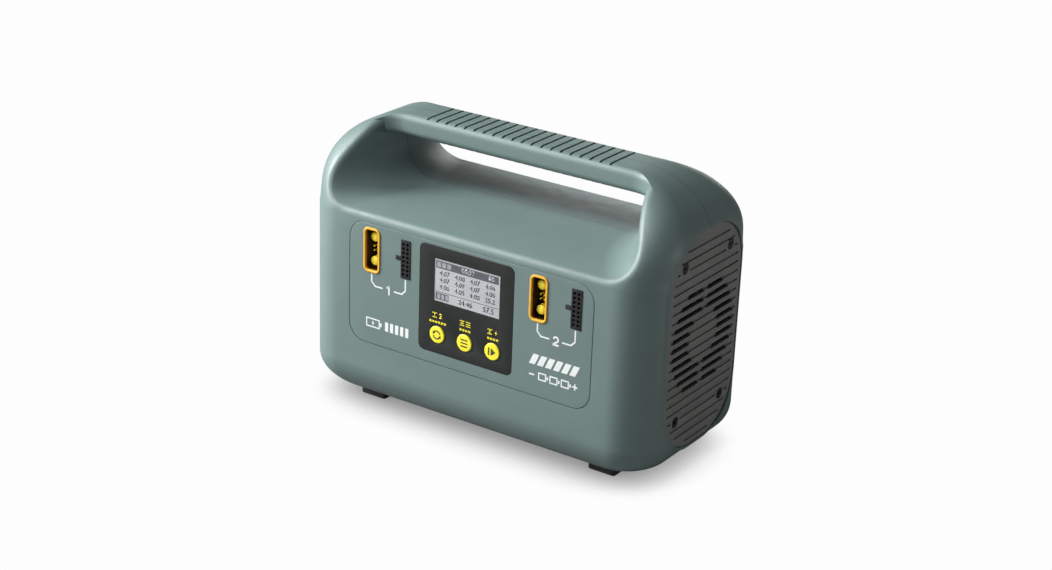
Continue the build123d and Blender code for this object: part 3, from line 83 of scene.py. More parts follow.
class Surface:
    """A Principled material being built, with short names for the nodes that vary it."""

    def __init__(self, name, colour, roughness, metallic=0.0, coat=0.0):
        self.material = bpy.data.materials.new(name)
        self.material.use_nodes = True
        self.tree = self.material.node_tree
        self.shader = self.tree.nodes["Principled BSDF"]
        self.shader.inputs["Base Color"].default_value = (*colour, 1)
        self.shader.inputs["Roughness"].default_value = roughness
        self.shader.inputs["Metallic"].default_value = metallic
        self.shader.inputs["Coat Weight"].default_value = coat
        self.shader.inputs["Coat Roughness"].default_value = 0.08
        self.colour = colour
        self.roughness = roughness
        self.place = self.node("ShaderNodeTexCoord").outputs["Object"]
        self.height = None

    def node(self, kind):
        return self.tree.nodes.new(kind)

    def link(self, start, end):
        self.tree.links.new(start, end)

    def noise(self, size, detail=3.0, stretch=(1, 1, 1)):
        """Noise with features about size metres across, drawn out where stretch is small."""
        mapping = self.node("ShaderNodeMapping")
        mapping.inputs["Scale"].default_value = stretch
        self.link(self.place, mapping.inputs["Vector"])
        noise = self.node("ShaderNodeTexNoise")
        noise.inputs["Scale"].default_value = 1 / size
        noise.inputs["Detail"].default_value = detail
        self.link(mapping.outputs["Vector"], noise.inputs["Vector"])
        return noise.outputs["Fac"]

    def remap(self, value, start, end, to_start, to_end):
        """Value from start..end laid out over to_start..to_end."""
        remap = self.node("ShaderNodeMapRange")
        remap.inputs["From Min"].default_value = start
        remap.inputs["From Max"].default_value = end
        remap.inputs["To Min"].default_value = to_start
        remap.inputs["To Max"].default_value = to_end
        self.link(value, remap.inputs["Value"])
        return remap.outputs["Result"]

    def mix(self, share, first, second):
        """Colour between first and second, each a colour or another node's output."""
        mix = self.node("ShaderNodeMix")
        mix.data_type = "RGBA"
        self.link(share, mix.inputs[0])
        for slot, value in ((mix.inputs[6], first), (mix.inputs[7], second)):
            if isinstance(value, tuple):
                slot.default_value = (*value, 1)
            else:
                self.link(value, slot)
        return mix.outputs[2]

    def paint(self, colour):
        self.link(colour, self.shader.inputs["Base Color"])
        return self

    def vary(self, size, amount):
        """Slow drift of the colour, lighter and darker by amount."""
        share = self.remap(self.noise(size, 4.0), NOISE_LOW, NOISE_HIGH, 0.0, 1.0)
        darker = tuple(c * (1 - amount) for c in self.colour)
        lighter = tuple(min(1.0, c * (1 + amount)) for c in self.colour)
        return self.paint(self.mix(share, darker, lighter))

    def polish(self, size, amount):
        """Roughness that drifts by amount, as handled plastic and drawn metal have."""
        least = self.roughness - amount
        rough = self.remap(self.noise(size, 5.0), NOISE_LOW, NOISE_HIGH, least, self.roughness + amount)
        self.link(rough, self.shader.inputs["Roughness"])
        return self

    def grain(self, size, depth, stretch=(1, 1, 1), strength=1.0):
        """Raised grain of one size; calls add up."""
        bump = self.node("ShaderNodeBump")
        bump.inputs["Strength"].default_value = strength
        bump.inputs["Distance"].default_value = depth
        self.link(self.noise(size, 2.0, stretch), bump.inputs["Height"])
        if self.height:
            self.link(self.height, bump.inputs["Normal"])
        self.height = bump.outputs["Normal"]
        self.link(self.height, self.shader.inputs["Normal"])
        return self

    def step(self, axis, start, end):
        """0 before start and 1 after end along an axis of the frame (0, 1 or 2)."""
        split = self.node("ShaderNodeSeparateXYZ")
        self.link(self.place, split.inputs["Vector"])
        return self.remap(split.outputs[axis], start, end, 0.0, 1.0)


def moulded(name, colour, roughness, grain=0.7 * MM, depth=0.03 * MM, drift=0.05):
    """Moulded plastic: fine spark-eroded texture, faint flow mottling and uneven sheen."""
    surface = Surface(name, colour, roughness)
    surface.vary(26 * MM, drift).polish(9 * MM, 0.05)
    return surface.grain(grain, depth).grain(4 * MM, depth * 0.6)


def metal(name, colour, roughness, stretch=(1, 1, 0.08)):
    """Drawn or plated metal: fine lines along Z, and patches that are a little duller."""
    surface = Surface(name, colour, roughness, metallic=1.0)
    surface.vary(3 * MM, 0.08).polish(1.5 * MM, 0.07)
    return surface.grain(0.4 * MM, 0.01 * MM, stretch)


def body_plastic():
    return moulded("moulded_grey_green", BODY_COLOUR, 0.50, 0.8 * MM, 0.022 * MM, 0.03)


def panel_plastic():
    return moulded("panel_grey_green", BODY_COLOUR, 0.46, 0.8 * MM, 0.016 * MM, 0.03)


def grille_plastic():
    return moulded("grille_dark_grey", (0.165, 0.167, 0.160), 0.55, 0.9 * MM, 0.03 * MM, 0.06)


def bezel_plastic():
    surface = Surface("bezel_black", (0.013, 0.015, 0.0145), 0.42, coat=0.05)
    surface.shader.inputs["Specular IOR Level"].default_value = 0.35
    return surface.vary(12 * MM, 0.08).polish(5 * MM, 0.04).grain(0.9 * MM, 0.002 * MM)


def screen_glass():
    """Grey liquid crystal behind a clear cover: faint dot rows, tone in random patches, and a faint
    painted glow from emission.
    """
    surface = Surface("grey_display", (0.36, 0.37, 0.39), 0.30, coat=0.25)
    rows = surface.node("ShaderNodeTexWave")
    rows.bands_direction = "Z"
    rows.inputs["Scale"].default_value = 1 / DOT_ROW / 6.28
    surface.link(surface.place, rows.inputs["Vector"])
    patch = surface.remap(surface.noise(30 * MM, 2.0), NOISE_LOW, NOISE_HIGH, 0.0, 1.0)
    tone = surface.mix(patch, (0.34, 0.35, 0.37), (0.40, 0.41, 0.42))
    dots = surface.remap(rows.outputs["Fac"], 0.0, 1.0, 0.0, 0.14)
    colour = surface.mix(dots, tone, (0.19, 0.20, 0.22))
    surface.paint(colour)
    # Painted glow: the screen's own colour is emitted faintly to brighten it.
    surface.link(colour, surface.shader.inputs["Emission Color"])
    surface.shader.inputs["Emission Strength"].default_value = 0.10
    return surface.grain(0.6 * MM, 0.003 * MM)


def button_plastic():
    surface = Surface("key_yellow", (0.80, 0.71, 0.032), 0.34, coat=0.25)
    surface.shader.inputs["Subsurface Weight"].default_value = 0.08
    surface.shader.inputs["Subsurface Scale"].default_value = 0.6 * MM
    return surface.vary(4 * MM, 0.04).polish(2 * MM, 0.05).grain(0.5 * MM, 0.008 * MM)


def outlet_plastic():
    """Amber rim round a cavity whose walls and floor darken with depth to dark brown, as painted shade
    in the recess.
    """
    surface = Surface("outlet_amber", (0.70, 0.36, 0.022), 0.38, coat=0.2)
    front = low("power_outlet_1").y
    amber = surface.mix(surface.noise(3 * MM), (0.66, 0.33, 0.018), (0.76, 0.40, 0.028))
    # Painted shade: the colour darkens with depth behind the outlet's front face.
    cavity_shade = surface.step(1, front + CAVITY_SHADE_START, front + CAVITY_SHADE_FULL)
    surface.paint(surface.mix(cavity_shade, amber, (0.050, 0.022, 0.008)))
    return surface.polish(2 * MM, 0.05).grain(0.5 * MM, 0.01 * MM)


def gold_contact():
    surface = metal("gold_plate", (1.0, 0.80, 0.060), 0.38, (1, 0.08, 1))
    surface.shader.inputs["Metallic"].default_value = 0.20
    return surface


def tin_contact():
    return metal("tin_plate", (0.62, 0.62, 0.60), 0.30)


def black_plastic():
    surface = moulded("black_plastic", (0.009, 0.009, 0.010), 0.48, 0.6 * MM, 0.02 * MM, 0.15)
    surface.shader.inputs["Specular IOR Level"].default_value = 0.35
    return surface


def dark_screw():
    return metal("black_zinc", (0.055, 0.055, 0.058), 0.38, (1, 1, 1))


def steel_screw():
    return metal("zinc_plate", (0.50, 0.51, 0.53), 0.32, (1, 1, 1))


def board_green():
    """Solder mask over a lattice of tracks that stand a little proud."""
    surface = Surface("solder_mask", (0.012, 0.105, 0.040), 0.34, coat=0.3)
    tracks = surface.node("ShaderNodeTexBrick")
    tracks.inputs["Scale"].default_value = 90
    tracks.inputs["Mortar Size"].default_value = 0.08
    surface.link(surface.place, tracks.inputs["Vector"])
    surface.paint(surface.mix(tracks.outputs["Fac"], (0.012, 0.105, 0.040), (0.030, 0.190, 0.070)))
    bump = surface.node("ShaderNodeBump")
    bump.inputs["Distance"].default_value = 0.04 * MM
    surface.link(tracks.outputs["Fac"], bump.inputs["Height"])
    surface.height = bump.outputs["Normal"]
    return surface.polish(6 * MM, 0.05).grain(1.5 * MM, 0.01 * MM)


def foot_rubber():
    return moulded("foot_rubber", (0.018, 0.018, 0.017), 0.80, 0.9 * MM, 0.06 * MM, 0.2)


def ferrite():
    return moulded("ferrite", (0.030, 0.030, 0.033), 0.62, 0.5 * MM, 0.05 * MM, 0.2)


def winding_tape():
    """Film tape over copper turns, which show as ridges."""
    surface = Surface("winding_tape", (0.72, 0.47, 0.06), 0.30, coat=0.3)
    return surface.vary(5 * MM, 0.12).polish(3 * MM, 0.06).grain(1.0 * MM, 0.10 * MM, (0.1, 0.1, 1))


def capacitor_sleeve():
    """Dark shrunk sleeve with small wrinkles and a bare top."""
    surface = Surface("capacitor_sleeve", (0.020, 0.030, 0.085), 0.26, coat=0.3)
    top = high("capacitors").z
    bare = surface.step(2, top - CAN_TOP_START, top - CAN_TOP_END)
    surface.paint(surface.mix(bare, (0.020, 0.030, 0.085), (0.45, 0.45, 0.46)))
    return surface.polish(5 * MM, 0.06).grain(2.5 * MM, 0.05 * MM, (1, 1, 0.3))


def heat_sink_metal():
    return metal("extruded_aluminium", (0.66, 0.67, 0.69), 0.36)


def wire_insulation():
    surface = Surface("wire_insulation", (0.40, 0.030, 0.022), 0.42)
    return surface.vary(8 * MM, 0.1).polish(4 * MM, 0.06).grain(0.9 * MM, 0.02 * MM)


def fuse_glass():
    """Clear tube between two plated caps."""
    surface = Surface("fuse_glass", (0.86, 0.90, 0.90), 0.06)
    start = low("fuse").x + FUSE_CAP
    end = high("fuse").x - FUSE_CAP
    left = surface.step(0, start, start + 0.1 * MM)
    right = surface.step(0, end, end - 0.1 * MM)
    clear = surface.node("ShaderNodeMath")
    clear.operation = "MULTIPLY"
    surface.link(left, clear.inputs[0])
    surface.link(right, clear.inputs[1])
    surface.link(clear.outputs["Value"], surface.shader.inputs["Transmission Weight"])
    surface.link(surface.remap(clear.outputs["Value"], 0, 1, 1, 0), surface.shader.inputs["Metallic"])
    return surface.vary(2 * MM, 0.05).grain(1 * MM, 0.004 * MM)


def white_print():
    surface = Surface("white_print", (0.66, 0.69, 0.68), 0.55)
    return surface.vary(3 * MM, 0.05).polish(2 * MM, 0.05).grain(0.4 * MM, 0.006 * MM)


def yellow_print():
    surface = Surface("yellow_print", (0.66, 0.56, 0.025), 0.5)
    return surface.vary(3 * MM, 0.06).polish(2 * MM, 0.05).grain(0.4 * MM, 0.006 * MM)


def key_print():
    surface = Surface("key_print", (0.050, 0.048, 0.014), 0.5)
    return surface.vary(2 * MM, 0.1).polish(2 * MM, 0.05).grain(0.4 * MM, 0.006 * MM)


def display_light():
    surface = Surface("display_light", (0.28, 0.29, 0.31), 0.32, coat=0.25)
    return surface.vary(4 * MM, 0.1).polish(3 * MM, 0.04).grain(0.5 * MM, 0.004 * MM)


def display_ink():
    surface = Surface("display_ink", (0.080, 0.084, 0.100), 0.32, coat=0.25)
    return surface.vary(4 * MM, 0.15).polish(3 * MM, 0.04).grain(0.5 * MM, 0.004 * MM)


MATERIALS = {
    "body_plastic": body_plastic, "grille_plastic": grille_plastic, "bezel_plastic": bezel_plastic,
    "screen_glass": screen_glass, "button_plastic": button_plastic, "outlet_plastic": outlet_plastic,
    "gold_contact": gold_contact, "tin_contact": tin_contact, "black_plastic": black_plastic,
    "dark_screw": dark_screw, "steel_screw": steel_screw, "board_green": board_green,
    "foot_rubber": foot_rubber, "ferrite": ferrite, "winding_tape": winding_tape,
    "capacitor_sleeve": capacitor_sleeve, "heat_sink_metal": heat_sink_metal,
    "wire_insulation": wire_insulation, "fuse_glass": fuse_glass,
}


def dress(obj, material):
    """Give an object one material in place of what it had."""
    obj.data.materials.clear()
    obj.data.materials.append(material)


# ---------------------------------------------------------------- edges of the CAD pieces
SMOOTH_ANGLE = math.radians(32)
WELD_REACH = 1e-6


def smooth_group():
    """Geometry nodes that shade smoothly except across edges sharper than SMOOTH_ANGLE."""
    group = bpy.data.node_groups.new("smooth_by_angle", "GeometryNodeTree")
    group.interface.new_socket("Geometry", in_out="INPUT", socket_type="NodeSocketGeometry")
    group.interface.new_socket("Geometry", in_out="OUTPUT", socket_type="NodeSocketGeometry")
    start = group.nodes.new("NodeGroupInput")
    end = group.nodes.new("NodeGroupOutput")
    faces = group.nodes.new("GeometryNodeSetShadeSmooth")
    edges = group.nodes.new("GeometryNodeSetShadeSmooth")
    edges.domain = "EDGE"
    edges.inputs["Shade Smooth"].default_value = False
    angle = group.nodes.new("GeometryNodeInputMeshEdgeAngle")
    sharp = group.nodes.new("FunctionNodeCompare")
    sharp.operation = "GREATER_THAN"
    sharp.inputs["B"].default_value = SMOOTH_ANGLE
    group.links.new(angle.outputs["Unsigned Angle"], sharp.inputs["A"])
    group.links.new(start.outputs[0], faces.inputs["Geometry"])
    group.links.new(faces.outputs["Geometry"], edges.inputs["Geometry"])
    group.links.new(sharp.outputs["Result"], edges.inputs["Selection"])
    group.links.new(edges.outputs["Geometry"], end.inputs[0])
    return group


SMOOTH = smooth_group()
EDGE_ROUNDS = {
    "left_grille": 0.22 * MM, "right_grille": 0.22 * MM, "display_bezel": 0.12 * MM,
    "ac_inlet": 0.25 * MM, "switch_body": 0.25 * MM, "rocker": 0.35 * MM, "fuse_drawer": 0.3 * MM,
    "balance_port_1": 0.12 * MM, "balance_port_2": 0.12 * MM,
}


def soften(obj, round_edge=0.0):
    """Join the mesh's seams, round its sharp edges a little and shade it smoothly."""
    weld = obj.modifiers.new("weld", "WELD")
    weld.merge_threshold = WELD_REACH
    if round_edge:
        bevel = obj.modifiers.new("bevel", "BEVEL")
        bevel.width = round_edge
        bevel.segments = 2
        bevel.limit_method = "ANGLE"
        bevel.angle_limit = SMOOTH_ANGLE
        bevel.harden_normals = False
    smooth = obj.modifiers.new("smooth", "NODES")
    smooth.node_group = SMOOTH


def dress_frame():
    """Give every CAD node its slot's material, and soften its edges."""
    made = {slot: build().material for slot, build in MATERIALS.items()}
    panel = panel_plastic().material
    for part in frame["record"]["subparts"]:
        node = NODES[part["node"]]
        dress(node, panel if part["node"] == "front_panel" else made[part["material_slot"]])
        custom = node.data.attributes.get("custom_normal")
        if custom:
            node.data.attributes.remove(custom)
        soften(node, EDGE_ROUNDS.get(part["node"], 0.0))
    return made


# ---------------------------------------------------------------- flat marks on the front
def stroke(points, width):
    """Outline of a line of even width through points, with mitred corners."""
    points = [Vector(p) for p in points]
    left, right = [], []
    for i, point in enumerate(points):
        before = (point - points[i - 1]).normalized() if i else None
        after = (points[i + 1] - point).normalized() if i + 1 < len(points) else None
        way = ((before or after) + (after or before)).normalized()
        across = Vector((-way.y, way.x))
        stretch = 1 / max(0.3, across.dot(Vector((-(before or after).y, (before or after).x))))
        left.append(point + across * width / 2 * stretch)
        right.append(point - across * width / 2 * stretch)
    return left + right[::-1]


def arc(centre, radius, start, sweep, steps=14):
    """Points along an arc, in degrees, anticlockwise for a positive sweep."""
    turns = [math.radians(start + sweep * i / steps) for i in range(steps + 1)]
    return [(centre[0] + radius * math.cos(t), centre[1] + radius * math.sin(t)) for t in turns]


def bar(x, z, width, height):
    """Outline of an upright rectangle centred at x, z."""
    return [(x - width / 2, z - height / 2), (x + width / 2, z - height / 2),
            (x + width / 2, z + height / 2), (x - width / 2, z + height / 2)]


def shifted(shape, x, z, scale=1.0):
    """An outline scaled, then moved to x, z."""
    return [(x + p[0] * scale, z + p[1] * scale) for p in shape]


def figures(words, x, z, height, weight=0.02):
    """Flat mesh of figures of the given height, centred at x, z."""
    curve = bpy.data.curves.new("figures", "FONT")
    curve.body = words
    curve.offset = weight
    curve.resolution_u = 4
    writer = bpy.data.objects.new("figures", curve)
    bpy.context.scene.collection.objects.link(writer)
    bpy.context.view_layer.update()
    graph = bpy.context.evaluated_depsgraph_get()
    mesh = bpy.data.meshes.new_from_object(writer.evaluated_get(graph))
    bpy.data.objects.remove(writer)
    xs = [v.co.x for v in mesh.vertices]
    ys = [v.co.y for v in mesh.vertices]
    scale = height / (max(ys) - min(ys))
    shift = Vector(((max(xs) + min(xs)) / 2, (max(ys) + min(ys)) / 2, 0))
    for v in mesh.vertices:
        v.co = (v.co - shift) * scale + Vector((x, z, 0))
    return mesh


def mark(name, shapes, face_y, thick, material, body="charger"):
    """One printed piece: flat outlines and figures in X and Z millimetres, standing thick off face_y."""
    mesh = bpy.data.meshes.new(name)
    form = bmesh.new()
    for shape in shapes:
        if isinstance(shape, bpy.types.Mesh):
            form.from_mesh(shape)
        else:
            form.faces.new([form.verts.new((p[0], p[1], 0)) for p in shape])
    bmesh.ops.recalc_face_normals(form, faces=form.faces)
    for face in form.faces:
        if face.normal.z < 0:
            face.normal_flip()
    bmesh.ops.triangulate(form, faces=form.faces)
    raised = bmesh.ops.extrude_face_region(form, geom=form.faces[:])["geom"]
    for vert in raised:
        if isinstance(vert, bmesh.types.BMVert):
            vert.co.z += thick / MM
    bmesh.ops.recalc_face_normals(form, faces=form.faces)
    upright = Matrix(((MM, 0, 0, 0), (0, 0, -MM, face_y), (0, MM, 0, 0), (0, 0, 0, 1)))
    form.transform(upright)
    form.to_mesh(mesh)
    form.free()
    obj = bpy.data.objects.new(name, mesh)
    bpy.context.scene.collection.objects.link(obj)
    dress(obj, material)
    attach(obj, body)
    return obj


PRINT_THICK = 0.05 * MM
# sizes of the marks, in millimetres
LINE = 1.0                    # width of the printed lines
LINE_CLEAR = 0.8              # from a connector down to the end of its line
CHANNEL_DROP = 9.0            # from the outlet down to the channel line
CHANNEL_CORNER = 2.9
PORT_HALF = 3.9               # from a port's right side to the middle of its pins
NUMBER_LEFT = 4.9             # from the channel's number to the lines beside it
NUMBER_RIGHT = 4.6
NUMBER_SINK = 0.2
FIGURE_TALL = 6.6
FIGURE_LINE = 1.2
HOOK_R = 1.75                 # bow of the figure 2
LEVEL_TALL = 6.6              # bars beside the battery sign
LEVEL_WIDE = 2.6
LEVEL_PITCH = 4.2
SLANT_HALF_TALL = 3.6         # slanted bars on the right
SLANT_HALF_WIDE = 2.2
SLANT_LEAN = 1.6
SLANT_PITCH = 6.1
CELL_DROP = 10.8              # from the slanted bars down to the row of cells
CELL_PITCH = 8.6
LABEL_UP = 13.4               # from a key up to the signs over it
LABEL_LOW = 8.7
LABEL_SIDE = 2.4
TICK_PITCH = 2.3
ARROW_R = 2.75                # turning arrows on the channel key
ARROW_LINE = 0.95
LIST_WIDE = 5.4               # list sign on the mode key, as wide as the play sign is tall
LIST_PITCH = 2.3


def channel_lines(number):
    """Bracket that ties an outlet to its balance port, broken by the channel's number."""
    outlet = middle(f"power_outlet_{number}").x / MM
    port = (high(f"balance_port_{number}").x / MM) - PORT_HALF
    outlet_low = low(f"power_outlet_{number}").z / MM
    port_low = low(f"balance_port_{number}").z / MM
    level = outlet_low - CHANNEL_DROP
    gap_middle = (outlet + port) / 2
    left = [(outlet, outlet_low - LINE_CLEAR), (outlet, level + CHANNEL_CORNER),
            (outlet + CHANNEL_CORNER, level), (gap_middle - NUMBER_LEFT, level)]
    right = [(gap_middle + NUMBER_RIGHT, level), (port - CHANNEL_CORNER, level),
             (port, level + CHANNEL_CORNER), (port, port_low - LINE_CLEAR)]
    return [stroke(left, LINE), stroke(right, LINE)] + numeral(number, gap_middle, level - NUMBER_SINK)


def numeral(number, x, z):
    """Channel number 1 or 2 in even lines."""
    top = z + FIGURE_TALL / 2
    foot = z - FIGURE_TALL / 2
    if number == 1:
        stem = bar(x + 0.5, z, FIGURE_LINE, FIGURE_TALL)
        return [stem, stroke([(x - 1.3, top - 1.9), (x + 0.5, top - 0.6)], FIGURE_LINE)]
    hook = arc((x, top - HOOK_R - FIGURE_LINE / 2), HOOK_R, 170, -215, 12)
    base = bar(x, foot + FIGURE_LINE / 2, 4.6, FIGURE_LINE)
    return [stroke(hook + [(x - 1.6, foot + FIGURE_LINE)], FIGURE_LINE), base]


def bolt(x, z, tall):
    """Lightning bolt."""
    shape = [(0.12, 0.5), (-0.28, -0.08), (-0.02, -0.08), (-0.12, -0.5), (0.28, 0.08), (0.02, 0.08)]
    return shifted(shape, x, z, tall)


def battery_sign(x, z, width, height):
    """Outline of a battery with its terminal."""
    wall = LINE * 0.9
    return [
        bar(x, z + height / 2 - wall / 2, width, wall),
        bar(x, z - height / 2 + wall / 2, width, wall),
        bar(x - width / 2 + wall / 2, z, wall, height - 2 * wall),
        bar(x + width / 2 - wall / 2, z, wall, height - 2 * wall),
        bar(x + width / 2 + 0.9, z, 1.2, height * 0.42),
    ]


def type_sign():
    """Generic sign low on the left: a battery, a bolt and a row of level bars."""
    x = low("power_outlet_1").x / MM + 8.2
    z = middle("start_button").z / MM - 6.0
    wide = 11.5
    shapes = battery_sign(x, z, wide, LEVEL_TALL)
    shapes.append(bolt(x, z, 4.2))
    for i in range(5):
        shapes.append(bar(x + wide + LEVEL_PITCH * i, z, LEVEL_WIDE, LEVEL_TALL))
    return shapes


def maker_sign():
    """Generic sign low on the right: slanted level bars over a minus, three cells and a plus."""
    right = high("balance_port_2").x / MM - 0.6
    z = middle("start_button").z / MM + 4.0
    shapes = []
    for i in range(6):
        x = right - 2.6 - SLANT_PITCH * i
        bottom = (x - SLANT_LEAN, z - SLANT_HALF_TALL)
        top = (x + SLANT_LEAN, z + SLANT_HALF_TALL)
        shapes.append([
            (bottom[0] - SLANT_HALF_WIDE, bottom[1]), (bottom[0] + SLANT_HALF_WIDE, bottom[1]),
            (top[0] + SLANT_HALF_WIDE, top[1]), (top[0] - SLANT_HALF_WIDE, top[1]),
        ])
    row = z - CELL_DROP
    for i in range(3):
        shapes += battery_sign(right - 26.5 + CELL_PITCH * i, row, 6.2, 5.4)
    plus = right - 1.8
    shapes.append(bar(right - 34.6, row, 4.0, LINE))
    shapes.append(bar(plus, row, 4.0, LINE))
    shapes.append(bar(plus, row + 1.3, LINE, 1.6))
    shapes.append(bar(plus, row - 1.3, LINE, 1.6))
    return shapes


def key_label(x, z, kind):
    """Small generic signs over a key: two square signs, with a row of ticks below them."""
    upper = z + LABEL_UP
    left = x - LABEL_SIDE
    right = x + LABEL_SIDE
    wide, thin, step = 3.6, 0.7, 1.5
    shapes = [bar(left, upper + step, wide, thin), bar(left, upper - step, wide, thin)]
    if kind == "channel":
        shapes += [figures("1", left, upper, 1.9, 0.04), figures("2", right, upper, wide, 0.05)]
    elif kind == "mode":
        shapes.append(bar(left, upper, 2.4, 0.9))
        shapes += [bar(right, upper + row, wide, thin) for row in (-step, 0, step)]
    else:
        shapes += [bolt(right, upper, 4.0), bar(left, upper, 0.9, 2.6)]
    ticks = {"channel": 6, "mode": 4, "start": 4}[kind]
    for i in range(ticks):
        shapes.append(bar(x + TICK_PITCH * (i - (ticks - 1) / 2), z + LABEL_LOW, 1.7, 1.5))
    return shapes


def arrow_head(x, z, turn, size):
    """Triangle that points along turn, in degrees."""
    return arc((x, z), size, turn, 240, 2)


def key_sign(x, z, kind):
    """Sign on a key: two turning arrows, a list, or a play and pause sign."""
    if kind == "channel":
        shapes = []
        for start in (15, 195):
            shapes.append(stroke(arc((x, z), ARROW_R, start, 125), ARROW_LINE))
            end = start + 140
            tip = math.radians(end)
            head = (x + ARROW_R * math.cos(tip), z + ARROW_R * math.sin(tip))
            shapes.append(arrow_head(*head, end + 90, 1.45))
        return shapes
    if kind == "mode":
        return [bar(x, z + row, LIST_WIDE, ARROW_LINE) for row in (LIST_PITCH, 0, -LIST_PITCH)]
    play = [(x - 0.7, z - LIST_WIDE / 2), (x + 3.1, z), (x - 0.7, z + LIST_WIDE / 2)]
    return [play, bar(x - 2.3, z, 1.1, LIST_WIDE)]


def add_panel_marks():
    """All printing on the front panel and the bezel, and the signs that ride on the keys."""
    white = white_print().material
    panel_face = low("front_panel").y
    mark("channel_marks", channel_lines(1) + channel_lines(2), panel_face, PRINT_THICK, white)
    mark("level_sign", type_sign(), panel_face, PRINT_THICK, white)
    mark("cells_sign", maker_sign(), panel_face, PRINT_THICK, white)
    yellow = yellow_print().material
    dark = key_print().material
    bezel_face = low("display_bezel").y
    labels = []
    for kind in ("channel", "mode", "start"):
        key = middle(f"{kind}_button") / MM
        labels += key_label(key.x, key.z, kind)
        face = low(f"{kind}_button").y
        mark(f"{kind}_key_sign", key_sign(key.x, key.z, kind), face, PRINT_THICK, dark, f"{kind}_key")
    mark("key_labels", labels, bezel_face, PRINT_THICK, yellow)


# ---------------------------------------------------------------- contact tips
TIP_RISE = 0.9 * MM
TIP_SUNK = 0.25 * MM          # depth of a tip's foot inside its contact
TIP_RIM = 0.35 * MM           # of the contact's face left bare round the tip
TIP_RINGS = 5
TIP_SIDES = 32


def add_contact_tips(gold):
    """Domed tips on the power contacts, spun up ring by ring."""
    mesh = bpy.data.meshes.new("contact_tips")
    form = bmesh.new()
    for number in (1, 2):
        near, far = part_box(f"outlet_contacts_{number}")
        radius = (far.x - near.x) / 2
        for z in (near.z + radius, far.z - radius):
            centre = Vector(((near.x + far.x) / 2, near.y + TIP_SUNK, z))
            loops = []
            for ring in range(TIP_RINGS):
                turn = math.pi / 2 * ring / TIP_RINGS
                wide = (radius - TIP_RIM) * math.cos(turn)
                hub = centre - Vector((0, TIP_RISE * math.sin(turn), 0))
                loop = []
                for i in range(TIP_SIDES):
                    way = 2 * math.pi * i / TIP_SIDES
                    loop.append(form.verts.new(hub + Vector((math.cos(way), 0, math.sin(way))) * wide))
                loops.append(loop)
            peak = form.verts.new(centre - Vector((0, TIP_RISE, 0)))
            form.faces.new(loops[0])
            for inner, outer in zip(loops[1:], loops):
                for i in range(TIP_SIDES):
                    form.faces.new((outer[i - 1], outer[i], inner[i], inner[i - 1]))
            for i in range(TIP_SIDES):
                form.faces.new((loops[-1][i - 1], loops[-1][i], peak))
    bmesh.ops.recalc_face_normals(form, faces=form.faces)
    form.to_mesh(mesh)
    form.free()
    tips = bpy.data.objects.new("contact_tips", mesh)
    bpy.context.scene.collection.objects.link(tips)
    dress(tips, gold)
    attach(tips, "charger")
    soften(tips)


# ---------------------------------------------------------------- parting line
SEAM_FIT = 0.02 * MM


def add_seam(dark):
    """Dark strip in the gap between the case halves, in the shape of the rear half's rim: painted shade
    standing for the dark of the gap.
    """
    shell = NODES["rear_shell"]
    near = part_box("rear_shell")[0].y
    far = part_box("front_shell")[1].y
    mesh = bpy.data.meshes.new("case_seam_shade")
    form = bmesh.new()
    form.from_mesh(shell.data)
    form.transform(shell.matrix_world)
    spare = [f for f in form.faces if max(abs(v.co.y - near) for v in f.verts) > SEAM_FIT]
    bmesh.ops.delete(form, geom=spare, context="FACES")
    bmesh.ops.remove_doubles(form, verts=form.verts, dist=SEAM_FIT / 10)
    raised = bmesh.ops.extrude_face_region(form, geom=form.faces[:])["geom"]
    for vert in raised:
        if isinstance(vert, bmesh.types.BMVert):
            vert.co.y = far
    bmesh.ops.recalc_face_normals(form, faces=form.faces)
    form.to_mesh(mesh)
    form.free()
    # Painted shade: a dark solid fills the parting gap.
    seam_shade = bpy.data.objects.new("case_seam_shade", mesh)
    bpy.context.scene.collection.objects.link(seam_shade)
    dress(seam_shade, dark)
    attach(seam_shade, "charger")


# ---------------------------------------------------------------- display
SCREEN_SINK = 0.35 * MM
SCREEN_THICK = 0.5 * MM
FILM = 0.02 * MM              # thickness of each layer of readings
# sizes on the screen, in millimetres
WINDOW_LIP = 1.6
SCREEN_EDGE = 1.2
HEAD_TALL = 5.2
ROW_STEP = 4.75
ROW_TALL = 3.5
FOOT_UP = 3.7
READINGS = (
    ("4.07", "4.08", "4.07", "4.06"),
    ("4.07", "4.09", "4.07", "4.06"),
    ("4.06", "4.05", "4.08", "25.2"),
)


def rounded_outline(x, z, width, height, corner):
    """Outline of a rounded rectangle centred at x, z."""
    points = []
    for start, sx, sz in ((0, 1, 1), (90, -1, 1), (180, -1, -1), (270, 1, -1)):
        centre = (x + sx * (width / 2 - corner), z + sz * (height / 2 - corner))
        points += arc(centre, corner, start, 90, 5)
    return points


